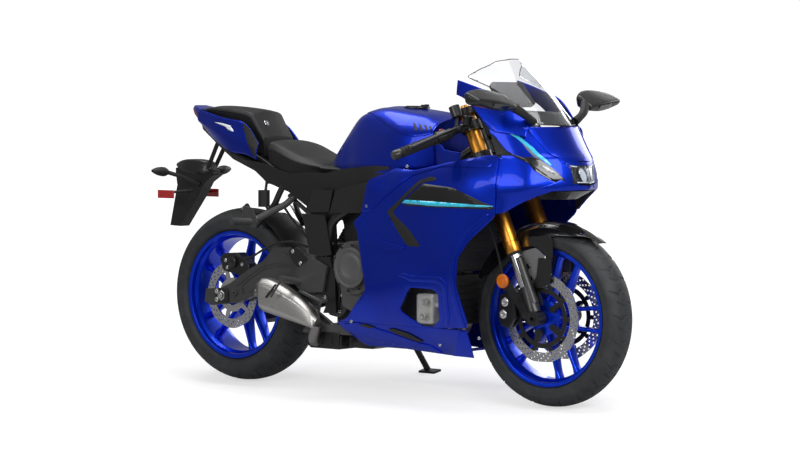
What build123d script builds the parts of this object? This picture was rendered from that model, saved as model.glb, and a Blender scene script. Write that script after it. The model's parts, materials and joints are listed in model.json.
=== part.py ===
"""Sport motorcycle, full size, leaning on its side stand.

The machine is drawn upright in its own frame: X forward with the rear axle at 0, Y to the rider's left,
Z up from the ground.  At the end every node is leaned onto the side stand and moved so that the origin
is the middle of the bounding box on the floor.  Units are millimetres and degrees.
"""

import functools
import math
import os

from build123d import *

# ---------------------------------------------------------------- driving dimensions
WHEELBASE = 1395.0
DRAWN_WHEELBASE = 1395.0  # the wheelbase for which the tables below give x
LEAN = 10.0  # how far it leans to its left on the side stand
RAKE = 23.7  # steering axis back from the vertical
TRAIL = 90.0

FRONT_TYRE_R = 300.0
FRONT_TYRE_W = 120.0
REAR_TYRE_R = 315.0
REAR_TYRE_W = 180.0
RIM_R = 232.0  # outer radius of the rim's flange
BEAD_R = 221.0  # where tyre and rim meet
RIM_BED_R = 206.0  # inner radius of the barrel
FRONT_RIM_W = 102.0
REAR_RIM_W = 152.0
SPOKE_PAIRS = 5

FRONT_DISC_R = 149.0
REAR_DISC_R = 122.5
DISC_T = 5.0
FRONT_DISC_Y = 66.0  # middle of each front disc from the centre plane
REAR_DISC_Y = 84.0
CASE_HALF = 95.0  # the crankcase from the centre plane
CHAIN_Y = CASE_HALF + 12.0
RIGHT_ARM = (-134.0, -102.0)  # y of the swingarm's two arms
LEFT_ARM = (CHAIN_Y + 14.0, CHAIN_Y + 42.0)
PLATE_Y = (LEFT_ARM[1] + 5.0, LEFT_ARM[1] + 17.0)

REACH_FROM = 900.0
REACH_TO = 1250.0
FORK_HALF = 98.0  # fork leg from the centre plane
FORK_OUTER_R = 27.0
FORK_INNER_R = 20.5
AXLE_R = 11.0
CLEAR = 0.3  # gap left between a piece and what carries it
RUN = 6.0  # gap left beside anything that turns

PIVOT = (495.0, 398.0)  # swingarm pivot, x and z
PANEL = 4.0  # thickness of the bodywork

STEER_RANGE = 27.0
STAND_PIVOT = (575.0, CASE_HALF + 89.0, 236.0)
STAND_AXIS = (-0.113, 0.964, 0.241)
STAND_FOOT = (630.0, 270.0)  # x and y of the foot's middle
STAND_FOLD = 92.0


# ---------------------------------------------------------------- helpers
def rod(start, end, radius):
    """Round bar between two points."""
    a, b = Vector(*start), Vector(*end)
    return Solid.make_cylinder(radius, (b - a).length, Plane(a, z_dir=b - a))


def hollow_rod(start, end, radius, bore):
    return rod(start, end, radius) - rod(start, end, bore)


def lathe(start, end, profile):
    """Round bar of changing radius between two points: profile is (share of the way, radius) from start to end."""
    a, b = Vector(*start), Vector(*end)
    length = (b - a).length
    points = [(0, profile[0][0] * length)]
    points += [(radius, share * length) for share, radius in profile]
    points.append((0, profile[-1][0] * length))
    turned = revolve(make_face(Plane.XZ * Polyline(*points, close=True)), axis=Axis.Z)
    return Plane(a, z_dir=b - a) * turned


def block(x0, x1, y0, y1, z0, z1):
    return Pos((x0 + x1) / 2, (y0 + y1) / 2, (z0 + z1) / 2) * Box(x1 - x0, y1 - y0, z1 - z0)


def side_plate(outline, y0, y1):
    """Flat plate seen from the side: its outline is in x and z, its thickness in y."""
    face = make_face(Polyline(*[(x, y0, z) for x, z in outline], close=True))
    return extrude(face, amount=y1 - y0, dir=(0, 1, 0))


def fore(points):
    """Points whose x is given from the front axle, in the machine's own x."""
    return [(WHEELBASE + x, *rest) for x, *rest in points]


def reach(x):
    """A table's x on this wheelbase: fixed behind the engine's front, carried with the fork ahead of the cowl."""
    share = min(max((x - REACH_FROM) / (REACH_TO - REACH_FROM), 0), 1)
    return x + share * (WHEELBASE - DRAWN_WHEELBASE)


def reached(outline):
    return [(reach(x), *rest) for x, *rest in outline]


def bent_tube(points, radius, bends):
    """Round tube along straight runs joined by arcs."""
    path = FilletPolyline(*points, radius=bends)
    return sweep(Plane(path @ 0, z_dir=path % 0) * Circle(radius), path=path)


def ruled(rings):
    """Solid through closed rings of points with the same count, straight between one ring and the next."""
    return Solid.make_loft([Wire.make_polygon(r, close=True) for r in rings], ruled=True)


def mirrored(shape):
    return shape.mirror(Plane.XZ)


def largest(shape):
    """The biggest solid left after a cut."""
    return max(shape.solids(), key=lambda solid: solid.volume)


def both_sides(shape):
    return [shape, mirrored(shape)]


def ring_y(profile, centre):
    """Body of revolution about a wheel's axle: profile is (y, radius) points, centre is the axle's x and z."""
    face = make_face(Polyline(*[(r, y) for y, r in profile], close=True))
    turned = revolve(face, axis=Axis.Y)
    return Pos(centre[0], 0, centre[1]) * turned


def on_fork(height, y=0.0, ahead=0.0):
    """Point on the fork leg's line at a height, or ahead of it square to the leg."""
    lean = math.radians(RAKE)
    x = FRONT_AXLE[0] - (height - FRONT_AXLE[1]) * math.tan(lean)
    return (x + ahead * math.cos(lean), y, height + ahead * math.sin(lean))


def on_steering(height, y=0.0):
    return (WHEELBASE + TRAIL - height * math.tan(math.radians(RAKE)), y, height)


FRONT_AXLE = (WHEELBASE, FRONT_TYRE_R)
REAR_AXLE = (0.0, REAR_TYRE_R)


# ---------------------------------------------------------------- wheels
def tyre_profile(radius, width, crown_drop):
    """Half section of a tyre as (y, radius): tread, shoulder, sidewall, bead."""
    half = width / 2
    wall = radius - BEAD_R
    return [
        (0.0, radius),
        (0.30 * half, radius - 0.06 * crown_drop),
        (0.62 * half, radius - 0.30 * crown_drop),
        (0.88 * half, radius - 0.70 * crown_drop),
        (half, radius - 1.10 * crown_drop),
        (0.93 * half, radius - 0.78 * wall),
    ]


FRONT_PROFILE = tyre_profile(FRONT_TYRE_R, FRONT_TYRE_W, 30.0)
REAR_PROFILE = tyre_profile(REAR_TYRE_R, REAR_TYRE_W, 38.0)


def tyre(profile, rim_width, centre):
    """Tyre seated on its rim, open inside down to the bead."""
    seat = rim_width / 2 - 6.5 - CLEAR
    bead = [(seat, RIM_R + 3), (seat, BEAD_R + CLEAR), (seat - 14, BEAD_R + CLEAR), (seat - 14, BEAD_R + 18)]
    half = profile + bead
    section = half + [(-y, r) for y, r in reversed(half) if y > 0]
    return ring_y(section, centre)


def rim(rim_width, hub, root, centre):
    """Cast wheel: barrel, hub and five pairs of spokes; hub is (y, radius) points, root is the spokes' (radius, half depth)."""
    h = rim_width / 2
    barrel = [
        (h, RIM_R),
        (h - 6, RIM_R),
        (h - 6.5, BEAD_R),
        (h - 24, BEAD_R),
        (h - 34, RIM_BED_R + 5),
    ]
    inner = [(h - 30, RIM_BED_R), (h - 18, BEAD_R - 5), (h - 2, BEAD_R - 3)]
    ring = barrel + [(-y, r) for y, r in reversed(barrel)] + [(-y, r) for y, r in reversed(inner)] + inner
    body = ring_y(ring, centre) + ring_y(hub, centre)
    for pair in range(SPOKE_PAIRS):
        for side in (-1, 1):
            turn = Location((centre[0], 0, centre[1])) * Location((0, 0, 0), (0, 360 / SPOKE_PAIRS * pair, 0))
            body += spoke(side, *root).moved(turn)
    return body


def front_rim():
    seat = FRONT_DISC_Y - DISC_T / 2 - DISC_ROOT - CLEAR
    half = [(60, 22), (seat, 22), (seat, 58), (seat - 8, 58), (seat - 12, 34)]
    bore = AXLE_R + CLEAR
    hub = half + [(-y, r) for y, r in reversed(half)] + [(-60, bore), (60, bore)]
    return rim(FRONT_RIM_W, hub, (30, 32), FRONT_AXLE)


def rear_rim():
    right = REAR_DISC_Y - DISC_T / 2 - CLEAR
    left = 70 - CLEAR
    bore = AXLE_R + CLEAR
    hub = [(left, 30), (left, 60), (left - 10, 60), (left - 16, 48), (16 - right, 48), (10 - right, 62), (-right, 62)]
    hub += [(-right, bore), (left, bore)]
    return rim(REAR_RIM_W, hub, (44, 40), REAR_AXLE)


DISC_ROOT = 12.0  # how far the disc's feet stand in from its band
SPOKE_GAP_HUB = 25.0  # each spoke of a pair from the pair's middle line
SPOKE_GAP_RIM = 40.0
SPOKE_W = 13.0


def spoke(side, root, half_depth):
    """One tapered spoke that runs along +X, with its mate on the other side of the line."""
    tip = RIM_BED_R + 2
    rings = []
    for reach, offset, half_y, half_z in (
        (root, SPOKE_GAP_HUB, half_depth, 0.75 * SPOKE_W),
        (tip, SPOKE_GAP_RIM, 15.0, 0.55 * SPOKE_W),
    ):
        z = side * offset
        rings.append([
            (reach, -half_y, z - half_z), (reach, half_y, z - half_z),
            (reach, half_y, z + half_z), (reach, -half_y, z + half_z),
        ])
    return ruled(rings)


DISC_BAND = 34.0
CARRIER_R = 101.0
LUGS = 10


def front_disc(y):
    """Floating disc: steel band, lugs and the carrier that bolts to the hub."""
    t = DISC_T / 2
    band = [(y + t, FRONT_DISC_R), (y + t, FRONT_DISC_R - DISC_BAND), (y - t, FRONT_DISC_R - DISC_BAND), (y - t, FRONT_DISC_R)]
    carrier = [(y + t, CARRIER_R), (y + t, CARRIER_R - 16), (y - t, CARRIER_R - 16), (y - t, CARRIER_R)]
    disc = ring_y(band, FRONT_AXLE) + ring_y(carrier, FRONT_AXLE)
    centre = Location((FRONT_AXLE[0], 0, FRONT_AXLE[1]))
    for lug in range(LUGS):
        turn = centre * Location((0, 0, 0), (0, 360 / LUGS * lug, 0))
        disc += block(CARRIER_R - 4, FRONT_DISC_R - DISC_BAND + 4, y - t, y + t, -9, 9).moved(turn)
    side = math.copysign(1, y)
    for arm in range(SPOKE_PAIRS):
        turn = centre * Location((0, 0, 0), (0, 360 / SPOKE_PAIRS * (arm + 0.5), 0))
        inner = y - side * (t + DISC_ROOT)
        piece = block(40, CARRIER_R - 12, min(inner, y + side * t), max(inner, y + side * t), -10, 10)
        piece -= block(56, CARRIER_R, min(inner, y - side * t), max(inner, y - side * t), -11, 11)
        disc += piece.moved(turn)
    return disc


def rear_disc():
    t = DISC_T / 2
    y = -REAR_DISC_Y
    band = [(y + t, REAR_DISC_R), (y + t, 88), (y - t, 88), (y - t, REAR_DISC_R)]
    disc = ring_y(band, REAR_AXLE)
    centre = Location((0, 0, REAR_AXLE[1]))
    for arm in range(5):
        turn = centre * Location((0, 0, 0), (0, 72 * arm, 0))
        disc += block(44, 92, y - t, y + t, -12, 12).moved(turn)
    ring = [(y + t, 62), (y + t, 38), (y - t, 38), (y - t, 62)]
    return disc + ring_y(ring, REAR_AXLE)


CHAIN_W = 17.0
LINK = 15.875
REAR_TEETH = 42
FRONT_TEETH = 16
FRONT_SPROCKET = (585.0, 408.0)


def pitch_radius(teeth):
    return LINK / 2 / math.sin(math.pi / teeth)


def sprocket():
    """Rear sprocket with its teeth, bolted to the cush drive."""
    r = pitch_radius(REAR_TEETH)
    points = []
    for tooth in range(REAR_TEETH):
        for share, reach in ((0.0, -4.5), (0.32, 1.5), (0.5, 3.5), (0.68, 1.5)):
            angle = 2 * math.pi * (tooth + share) / REAR_TEETH
            points.append(((r + reach) * math.cos(angle), (r + reach) * math.sin(angle)))
    plate = side_plate(points, CHAIN_Y - 3, CHAIN_Y + 3)
    plate -= rod((0, CHAIN_Y - 4, 0), (0, CHAIN_Y + 4, 0), 40)
    for hole in range(5):
        angle = math.radians(72 * hole)
        x, z = 72 * math.cos(angle), 72 * math.sin(angle)
        plate -= rod((x, CHAIN_Y - 4, z), (x, CHAIN_Y + 4, z), 13)
    return Pos(0, 0, REAR_AXLE[1]) * plate


def wheel_hub_rear():
    """Spacer ring between wheel and sprocket: the cush drive carrier."""
    return ring_y([(70, 62), (CHAIN_Y - 3 - CLEAR, 62), (CHAIN_Y - 3 - CLEAR, 30), (70, 30)], REAR_AXLE)


def chain_loop(front_r, rear_r):
    """Outline round both sprockets, straight between them."""
    dx, dz = FRONT_SPROCKET[0], FRONT_SPROCKET[1] - REAR_AXLE[1]
    span, slope = math.hypot(dx, dz), math.atan2(dz, dx)
    open_angle = math.acos((rear_r - front_r) / span)
    points = []
    for centre, radius, start, stop in (
        (REAR_AXLE, rear_r, slope + open_angle, slope + 2 * math.pi - open_angle),
        (FRONT_SPROCKET, front_r, slope - open_angle, slope + open_angle),
    ):
        steps = max(6, int((stop - start) * radius / 20))
        for k in range(steps + 1):
            a = start + (stop - start) * k / steps
            points.append((centre[0] + radius * math.cos(a), centre[1] + radius * math.sin(a)))
    return points


CHAIN_H = 13.0
CHAIN_GAP = 12.0  # between the two rows of link plates
ROLLER_R = 5.0


def chain():
    """Drive chain: two rows of link plates, with rollers on the straight runs and in the front sprocket."""
    front_r, rear_r = pitch_radius(FRONT_TEETH), pitch_radius(REAR_TEETH)
    y0, y1 = CHAIN_Y - CHAIN_W / 2, CHAIN_Y + CHAIN_W / 2
    band = side_plate(chain_loop(front_r + CHAIN_H / 2, rear_r + CHAIN_H / 2), y0, y1)
    band -= side_plate(chain_loop(front_r - CHAIN_H / 2, rear_r - CHAIN_H / 2), y0 - 1, y1 + 1)
    band -= block(-200, 800, CHAIN_Y - CHAIN_GAP / 2, CHAIN_Y + CHAIN_GAP / 2, 100, 600)
    loop = chain_loop(front_r, rear_r)
    x, z = FRONT_SPROCKET
    corner = next(k for k in range(len(loop) - 1) if math.hypot(loop[k][0] - x, loop[k][1] - z) < front_r + 1)
    rollers = []
    for a, b in ((loop[corner - 1], loop[corner]), (loop[-1], loop[0])):
        rollers += [(a[0] + (b[0] - a[0]) * share, a[1] + (b[1] - a[1]) * share) for share in (0.3, 0.5, 0.7)]
    for angle in (-60, 0, 60):
        a = math.radians(angle)
        rollers.append((x + front_r * math.cos(a), z + front_r * math.sin(a)))
    for rx, rz in rollers:
        band += rod((rx, y0, rz), (rx, y1, rz), ROLLER_R)
    return band


# ---------------------------------------------------------------- steering
AHEAD = Vector(math.cos(math.radians(RAKE)), 0, math.sin(math.radians(RAKE)))
UP_AXIS = Vector(-math.sin(math.radians(RAKE)), 0, math.cos(math.radians(RAKE)))
FORK_AHEAD = (FRONT_AXLE[0] - on_steering(FRONT_AXLE[1])[0]) * math.cos(math.radians(RAKE))
AXLE_END = 126.0
AXLE_BORE_R = 7.0
AXLE_BORE_DEPTH = 40.0
REFLECTOR_R = 24.0
REFLECTOR_Y = 104.0 + CLEAR
FORK_TOP = 992.0
OUTER_BOTTOM = 512.0
LOWER_TOP = 402.0
LOWER_CLAMP = (796.0, 828.0)  # heights on the steering axis
UPPER_CLAMP = (952.0, 974.0)
STEM_R = 17.0


def steering_plane(height):
    return Plane(on_steering(height), x_dir=AHEAD, z_dir=UP_AXIS)


def fork_tubes():
    """Gold outer tubes with the bright inner tubes below, and a cap on top of each leg."""
    legs = []
    for y in (-FORK_HALF, FORK_HALF):
        leg = rod(on_fork(OUTER_BOTTOM, y), on_fork(FORK_TOP, y), FORK_OUTER_R)
        leg += rod(on_fork(OUTER_BOTTOM - 8, y), on_fork(OUTER_BOTTOM, y), FORK_OUTER_R - 2)
        leg += rod(on_fork(LOWER_TOP - 60, y), on_fork(OUTER_BOTTOM, y), FORK_INNER_R)
        leg += rod(on_fork(FORK_TOP, y), on_fork(FORK_TOP + 6, y), FORK_OUTER_R - 6)
        legs.append(leg)
    return legs


def fork_lowers():
    """Axle holders, their caliper lugs and the hollow axle that joins them."""
    out = None
    for side in (-1, 1):
        y = side * FORK_HALF
        leg = rod(on_fork(318, y), on_fork(LOWER_TOP, y), 23)
        leg += rod((FRONT_AXLE[0], side * 76, FRONT_AXLE[1]), (FRONT_AXLE[0], side * 122, FRONT_AXLE[1]), 25)
        leg -= rod(on_fork(LOWER_TOP - 60 - CLEAR, y), on_fork(LOWER_TOP + 5, y), FORK_INNER_R + CLEAR)
        lug = side_plate(fore([(-23, 395), (-95, 382), (-99, 366), (-55, 300), (0, 285)]), 0, 14)
        lug = Pos(0, 90 if side > 0 else -104, 0) * lug
        ear = side_plate(fore([(-102, 362), (-78, 380), (-118, 434), (-146, 414)]), 99, 104)
        lug += ear if side > 0 else mirrored(ear)
        lug -= rod(on_fork(300, y), on_fork(430, y), 23)
        ear = side_plate(fore([(-33, 404), (-5, 398), (41, 419), (45, 500), (-7, 500), (-15, 440)]), 75.5, 80)
        ear = ear if side > 0 else mirrored(ear)
        leg += lug + (ear - rod(on_fork(405, y), on_fork(600, y), FORK_INNER_R + 1))
        out = leg if out is None else out + leg
    x, z = FRONT_AXLE
    out += rod((x, -AXLE_END, z), (x, AXLE_END, z), AXLE_R)
    for side in (-1, 1):
        out -= rod((x, side * (AXLE_END - AXLE_BORE_DEPTH), z), (x, side * (AXLE_END + 1), z), AXLE_BORE_R)
    return out


def side_reflectors():
    """Round reflector on the bracket behind each fork leg."""
    x, z = WHEELBASE - 135, 419
    disc = rod((x, -REFLECTOR_Y, z), (x, -REFLECTOR_Y - 6, z), REFLECTOR_R)
    disc += rod((x, -REFLECTOR_Y - 5, z), (x, -REFLECTOR_Y - 10, z), REFLECTOR_R - 3)
    return both_sides(disc)


def clamp(low, high):
    """Triple clamp: a waisted bridge with a boss round each leg and the stem."""
    t = (high - low) / math.cos(math.radians(RAKE))
    half = FORK_HALF
    outline = [
        (-34, -26), (-34, 26), (0, 46), (FORK_AHEAD - 20, half + 20), (FORK_AHEAD + 14, half + 36),
        (FORK_AHEAD + 36, half + 6), (FORK_AHEAD + 22, half - 34), (28, 34), (28, -34),
        (FORK_AHEAD + 22, 34 - half), (FORK_AHEAD + 36, -half - 6), (FORK_AHEAD + 14, -half - 36),
        (FORK_AHEAD - 20, -half - 20), (0, -46),
    ]
    bridge = extrude(make_face(Polyline(*outline, close=True)), amount=t)
    for y in (-half, half):
        bridge += Pos(FORK_AHEAD, y, t / 2) * Cylinder(FORK_OUTER_R + 11, t)
        bridge -= Pos(FORK_AHEAD, y, t / 2) * Cylinder(FORK_OUTER_R + CLEAR, t + 4)
    return steering_plane(low) * bridge


def triple_clamps():
    """Both clamps and the stem that runs through the head tube."""
    stem = rod(on_steering(LOWER_CLAMP[0]), on_steering(UPPER_CLAMP[1] + 8), STEM_R)
    return clamp(*LOWER_CLAMP) + clamp(*UPPER_CLAMP) + stem


BAR_ROOT = (1122.0, -122.0, 934.0)
BAR_TIP = (1008.0, -352.0, 842.0)
BAR_R = 11.0
GRIP_R = 16.5
GRIP_SPAN = (0.46, 0.95)
CLIP_Z = (916.0, 946.0)


def along_bar(share):
    return tuple(a + (b - a) * share for a, b in zip(BAR_ROOT, BAR_TIP))


def handlebars():
    """Two clip-on bars: a split ring on the fork leg, then boss, bar, switch box and end weight."""
    ring = rod(on_fork(CLIP_Z[0], -FORK_HALF), on_fork(CLIP_Z[1], -FORK_HALF), FORK_OUTER_R + 9)
    inner, outer = GRIP_SPAN
    bar = lathe(BAR_ROOT, BAR_TIP, [
        (-0.02, BAR_R + 5), (0.10, BAR_R + 5), (0.11, BAR_R), (0.33, BAR_R), (0.33, 22), (inner - 0.01, 22),
        (inner - 0.01, BAR_R), (outer + 0.01, BAR_R), (outer + 0.01, 17), (1.05, 17), (1.07, 14),
    ])
    bar = ring + bar
    bar -= rod(on_fork(CLIP_Z[0] - 20, -FORK_HALF), on_fork(CLIP_Z[1] + 20, -FORK_HALF), FORK_OUTER_R + CLEAR)
    return both_sides(bar)


def grips():
    return both_sides(hollow_rod(along_bar(GRIP_SPAN[0]), along_bar(GRIP_SPAN[1]), GRIP_R, BAR_R + CLEAR))


def offset_bar(share, ahead, up):
    p = along_bar(share)
    return (p[0] + ahead * AHEAD.X + up * UP_AXIS.X, p[1], p[2] + ahead * AHEAD.Z + up * UP_AXIS.Z)


def levers():
    """Brake and clutch levers with their clamp, and the brake's fluid cup."""
    collar = hollow_rod(along_bar(0.24), along_bar(0.31), 17, BAR_R + CLEAR)
    arm = rod(offset_bar(0.27, 12, 0), offset_bar(0.30, 52, 2), 10)
    blade = bent_tube([offset_bar(0.30, 52, 2), offset_bar(0.55, 62, 2), offset_bar(0.97, 50, 0)], 6, 60)
    ball = Pos(*offset_bar(0.97, 50, 0)) * Sphere(9)
    lever = collar + arm + blade + ball - rod(along_bar(0.1), along_bar(0.6), BAR_R + CLEAR)
    right = lever + rod(offset_bar(0.28, 40, 4), offset_bar(0.20, 34, 46), 6)
    right += rod(offset_bar(0.20, 34, 40), offset_bar(0.20, 34, 78), 19)
    return [right, mirrored(lever)]


FENDER_R = FRONT_TYRE_R + 22.0
FENDER_T = 3.5
FENDER_OUTLINE = [(-300, 419), (-246, 418), (-180, 474), (-106, 526), (53, 574), (230, 577), (230, 700), (-300, 700)]
CALIPER_OUTLINE = [(-159, 372), (-169, 300), (-155, 268), (-123, 262), (-95, 300), (-97, 372), (-125, 384)]


def front_fender():
    """Arched fender over the tyre with a bracket to each fork leg."""
    outer = [(0, FENDER_R), (38, FENDER_R - 5), (60, FENDER_R - 24), (67, FENDER_R - 50), (68, FENDER_R - 84)]
    inner = [(y - FENDER_T * (y > 0), r - FENDER_T) for y, r in outer[:-1]] + [(64.5, FENDER_R - 84)]
    half = outer + list(reversed(inner))
    face = make_face(Polyline(*[(r, y) for y, r in half], close=True))
    arch = revolve(face, axis=Axis.Y, revolution_arc=116)
    arch = Location((FRONT_AXLE[0], 0, FRONT_AXLE[1]), (0, -160, 0)) * arch
    arch &= side_plate(fore(FENDER_OUTLINE), -80, 80)
    both = arch + mirrored(arch)
    bracket = side_plate(fore([(-86, 536), (-50, 570), (20, 572), (45, 500), (45, 486), (-11, 486)]), -70.6, -66.5)
    bracket += side_plate(fore([(-7, 486), (45, 486), (43, 500), (-7, 500)]), -75.2, -68)
    bracket -= rod(on_fork(400, -FORK_HALF), on_fork(700, -FORK_HALF), FORK_OUTER_R + CLEAR)
    for piece in both_sides(bracket):
        both += piece
    return both


def front_calipers():
    """Radial calipers straddling each disc behind the leg."""
    out = []
    for side in (-1, 1):
        body = side_plate(fore(CALIPER_OUTLINE), 45, 90 - CLEAR)
        body = body if side > 0 else mirrored(body)
        slot = FRONT_DISC_Y - DISC_T / 2 - RUN + 1
        gap = block(WHEELBASE - 152, WHEELBASE + 5, slot, slot + DISC_T + 2 * RUN - 2, 180, 420)
        body -= gap if side > 0 else mirrored(gap)
        out.append(body)
    return out


# ---------------------------------------------------------------- frame and running gear
STAND_PIN_R = 7.0


def beside_stand(reach):
    """Point on the stand's hinge axis, outward from its pivot."""
    return tuple(p + reach * a for p, a in zip(STAND_PIVOT, STAND_AXIS))


TUBE_R = 16.0
HEAD_TUBE = (836.0, 944.0)
HEAD_R = 30.0
PIVOT_BORE_R = 12.0
RAIL_R = 11.0
PIVOT_PLATE = [(470, 470), (544, 476), (568, 396), (572, 281), (512, 278), (535, 324), (507, 362), (462, 368), (455, 400)]


def down_tube(side):
    """Front run of the frame from the head to the engine's upper mount."""
    points = [on_steering(872, side * 14), (reach(1030), side * 74, 770), (990, side * 118, 690), (760, side * 140, 640)]
    return bent_tube(points, TUBE_R - 2, [60, 50])


def seat_rail(side):
    """Rail under the seats, back to the tail."""
    return bent_tube([(600, side * 140, 650), (420, side * 105, 690), (270, side * 86, 745), (-110, side * 50, 921)],
                     RAIL_R, [60, 120])


@functools.cache
def main_frame():
    """Steel tube frame: head tube, two runs each side, cross tubes, pivot plates and the seat rails."""
    frame = rod(on_steering(HEAD_TUBE[0]), on_steering(HEAD_TUBE[1]), HEAD_R)
    for side in (-1, 1):
        upper = [on_steering(880, side * 12), (985, side * 118, 770), (720, side * 140, 700), (530, side * 140, 600),
                 (500, side * 140, 440)]
        prop = [(500, side * 136, 560), (390, side * 110, 660), (230, side * 84, 770)]
        frame += bent_tube(upper, TUBE_R, [60, 90, 70])
        frame += down_tube(side)
        frame += seat_rail(side)
        frame += bent_tube(prop, 10, 60)
        plate = side_plate(PIVOT_PLATE, *PLATE_Y)
        frame += plate if side > 0 else mirrored(plate)
        frame += rod((500, side * 140, 450), (500, side * (PLATE_Y[0] + 4), 450), 14)
    for x, z, half in ((1000, 752, 110), (560, 628, 135), (350, 716, 90), (60, 842, 60), (-80, 907, 48)):
        frame += rod((x, -half, z), (x, half, z), 10)
    frame += side_plate([(490, 380), (545, 390), (600, 236), (590, 216), (560, 216), (540, 250)], *PLATE_Y)
    frame += rod(STAND_PIVOT, beside_stand(-30), STAND_PIN_R)
    frame += rod(STAND_PIVOT, beside_stand(17), STAND_PIN_R)
    for side in (-1, 1):
        frame += rod((517, side * 135, 520), (600, side * (CASE_HALF - 4), 520), 10) - engine()
    x, z = PIVOT
    frame += rod((x, -PLATE_Y[0] - 4, z), (x, PLATE_Y[0] + 4, z), PIVOT_BORE_R - CLEAR)
    frame -= rod(on_steering(HEAD_TUBE[0] - 9), on_steering(HEAD_TUBE[1] + 9), STEM_R + CLEAR)
    return frame


CLUTCH = (670.0, 444.0)
CLUTCH_R = 92.0
GENERATOR = (760.0, 400.0)


def engine():
    """Engine mass: crankcase, sump and inclined cylinders with fins, and the output sprocket."""
    case = side_plate(
        [(545, 470), (560, 330), (600, 262), (700, 222), (860, 222), (905, 262), (930, 420), (900, 520),
         (700, 545), (600, 530)], -CASE_HALF, CASE_HALF)
    barrel = side_plate([(700, 520), (880, 500), (935, 640), (900, 700), (780, 735), (735, 690)], -CASE_HALF, CASE_HALF)
    body = case + barrel
    for fin in range(6):
        along = 20 + 18 * fin
        x0, z0 = 700 + along * 0.32, 535 + along * 0.94
        body += side_plate([(x0 - 6, z0), (x0 - 4, z0 + 6), (x0 + 182, z0 - 12), (x0 + 180, z0 - 18)], -CASE_HALF - 5, CASE_HALF + 5)
    x, z = FRONT_SPROCKET
    body += rod((x, CASE_HALF - 5, z), (x, CHAIN_Y + 14, z), 12)
    body += rod((x, CHAIN_Y - 3, z), (x, CHAIN_Y + 3, z), pitch_radius(FRONT_TEETH) - ROLLER_R - CLEAR)
    return body


def engine_covers():
    """Clutch cover on the right, generator and sprocket covers on the left."""
    x, z = CLUTCH
    clutch = rod((x, -CASE_HALF - CLEAR - 90, z), (x, -CASE_HALF - CLEAR, z), CLUTCH_R)
    clutch += side_plate([(590, 400), (600, 310), (700, 262), (800, 290), (860, 380), (850, 470), (760, 525), (640, 515)],
                         -CASE_HALF - 70, -CASE_HALF - CLEAR)
    clutch = clutch + rod((x, -CASE_HALF - 104, z), (x, -CASE_HALF - 85, z), 62)
    clutch += rod((x + 8, -CASE_HALF - 112, z - 4), (x + 8, -CASE_HALF - 100, z - 4), 40)
    gx, gz = GENERATOR
    generator = rod((gx, CASE_HALF + CLEAR, gz), (gx, CASE_HALF + 78, gz), 82)
    generator += rod((gx, CASE_HALF + 70, gz), (gx, CASE_HALF + 92, gz), 48)
    case = side_plate([(552, 462), (548, 350), (640, 340), (672, 400), (668, 470), (600, 480)], CHAIN_Y + 20, CHAIN_Y + 34)
    return [clutch, generator + case + rod((655, CASE_HALF + CLEAR, 375), (655, CHAIN_Y + 25, 375), 12)]


RADIATOR = (1020.0, 1052.0, 430.0, 660.0, 165.0)


def radiator():
    """Core between two side tanks, with louvred rows across its face and a lug up to each front frame run."""
    x0, x1, z0, z1, half = RADIATOR
    core = block(x0, x1 - 6, -half + 24, half - 24, z0 + 8, z1 - 8)
    core += block(x0 - 4, x1, -half, -half + 26, z0, z1) + block(x0 - 4, x1, half - 26, half, z0, z1)
    rows = 16
    pitch = (z1 - z0 - 30) / rows
    for row in range(rows):
        z = z0 + 15 + pitch * row
        core += block(x1 - 8, x1 - 1, -half + 20, half - 20, z, z + pitch * 0.45)
    for side in (-1, 1):
        lug = rod((x0 + 6, side * (half - 30), z1 - 12), (990, side * 116, 692), 7)
        core += lug - down_tube(side)
    return core


PIPE_R = 19.0


def exhaust_headers():
    """Two header pipes down the front of the engine and back under the sump."""
    pipes = []
    for side in (-1, 1):
        route = [(935 + CLEAR, side * 45, 640), (985, side * 45, 634), (985, side * 52, 250), (925, side * 52, 180), (700, side * 52, 180)]
        pipes.append(bent_tube(route, PIPE_R, [30, 50, 60]))
    return pipes


COLLECTOR = (420.0, 572.0, 699.7, -150.0, 118.0, 96.0)


def collector_box():
    """Flat collector under the engine."""
    x0, x1, x2, y0, y1, neck = COLLECTOR
    box = side_plate([(x0, 166), (x0 + 20, 152), (x1, 152), (x1, 210), (x0 + 30, 210), (x0, 198)], y0, y1)
    return box + side_plate([(x1, 156), (x2 - 20, 156), (x2, 166), (x2, 198), (x2 - 20, 206), (x1, 206)], -neck, neck)


SILENCER_PIPE = [(470.0, -170.0, 182.0), (500.0, -184.0, 236.0)]
# x and z on top and below, then y of the middle, half depth and half of the flats
SILENCER = (
    (505, 258, 496, 222, -182, 16, 9),
    (440, 325, 470, 229, -188, 33, 18),
    (311, 387, 300, 268, -197, 40, 22),
    (250, 386, 280, 274, -201, 36, 19),
)


def silencer():
    """Short six-sided silencer with its open end to the rear, and the pipe that feeds it."""
    rings = []
    for xt, zt, xb, zb, y, half, flat in SILENCER:
        xm, zm = (xt + xb) / 2, (zt + zb) / 2
        rings.append([(xt, y - flat, zt), (xm, y - half, zm), (xb, y - flat, zb), (xb, y + flat, zb), (xm, y + half, zm),
                      (xt, y + flat, zt)])
    start, end = SILENCER_PIPE
    body = ruled(rings) + rod(start, end, 18)
    body += rod((start[0], COLLECTOR[3] - CLEAR, start[2]), start, 22)
    return body - rod((300, -198, 330), (240, -202, 342), 21)


ARM_OUTLINE = [(522, 425), (400, 470), (300, 500), (246, 496), (199, 448), (124, 413), (36, 361), (-9, 342), (-85, 336),
               (-92, 290), (-60, 277), (71, 291), (159, 324), (329, 372), (420, 366), (515, 372)]
SPOOL = (62.0, 326.0)  # x and z of the threaded bore for a stand spool
SPOOL_BOSS = 9.0
SPOOL_BORE_R = 4.0
SPOOL_DEPTH = 24.0


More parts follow.
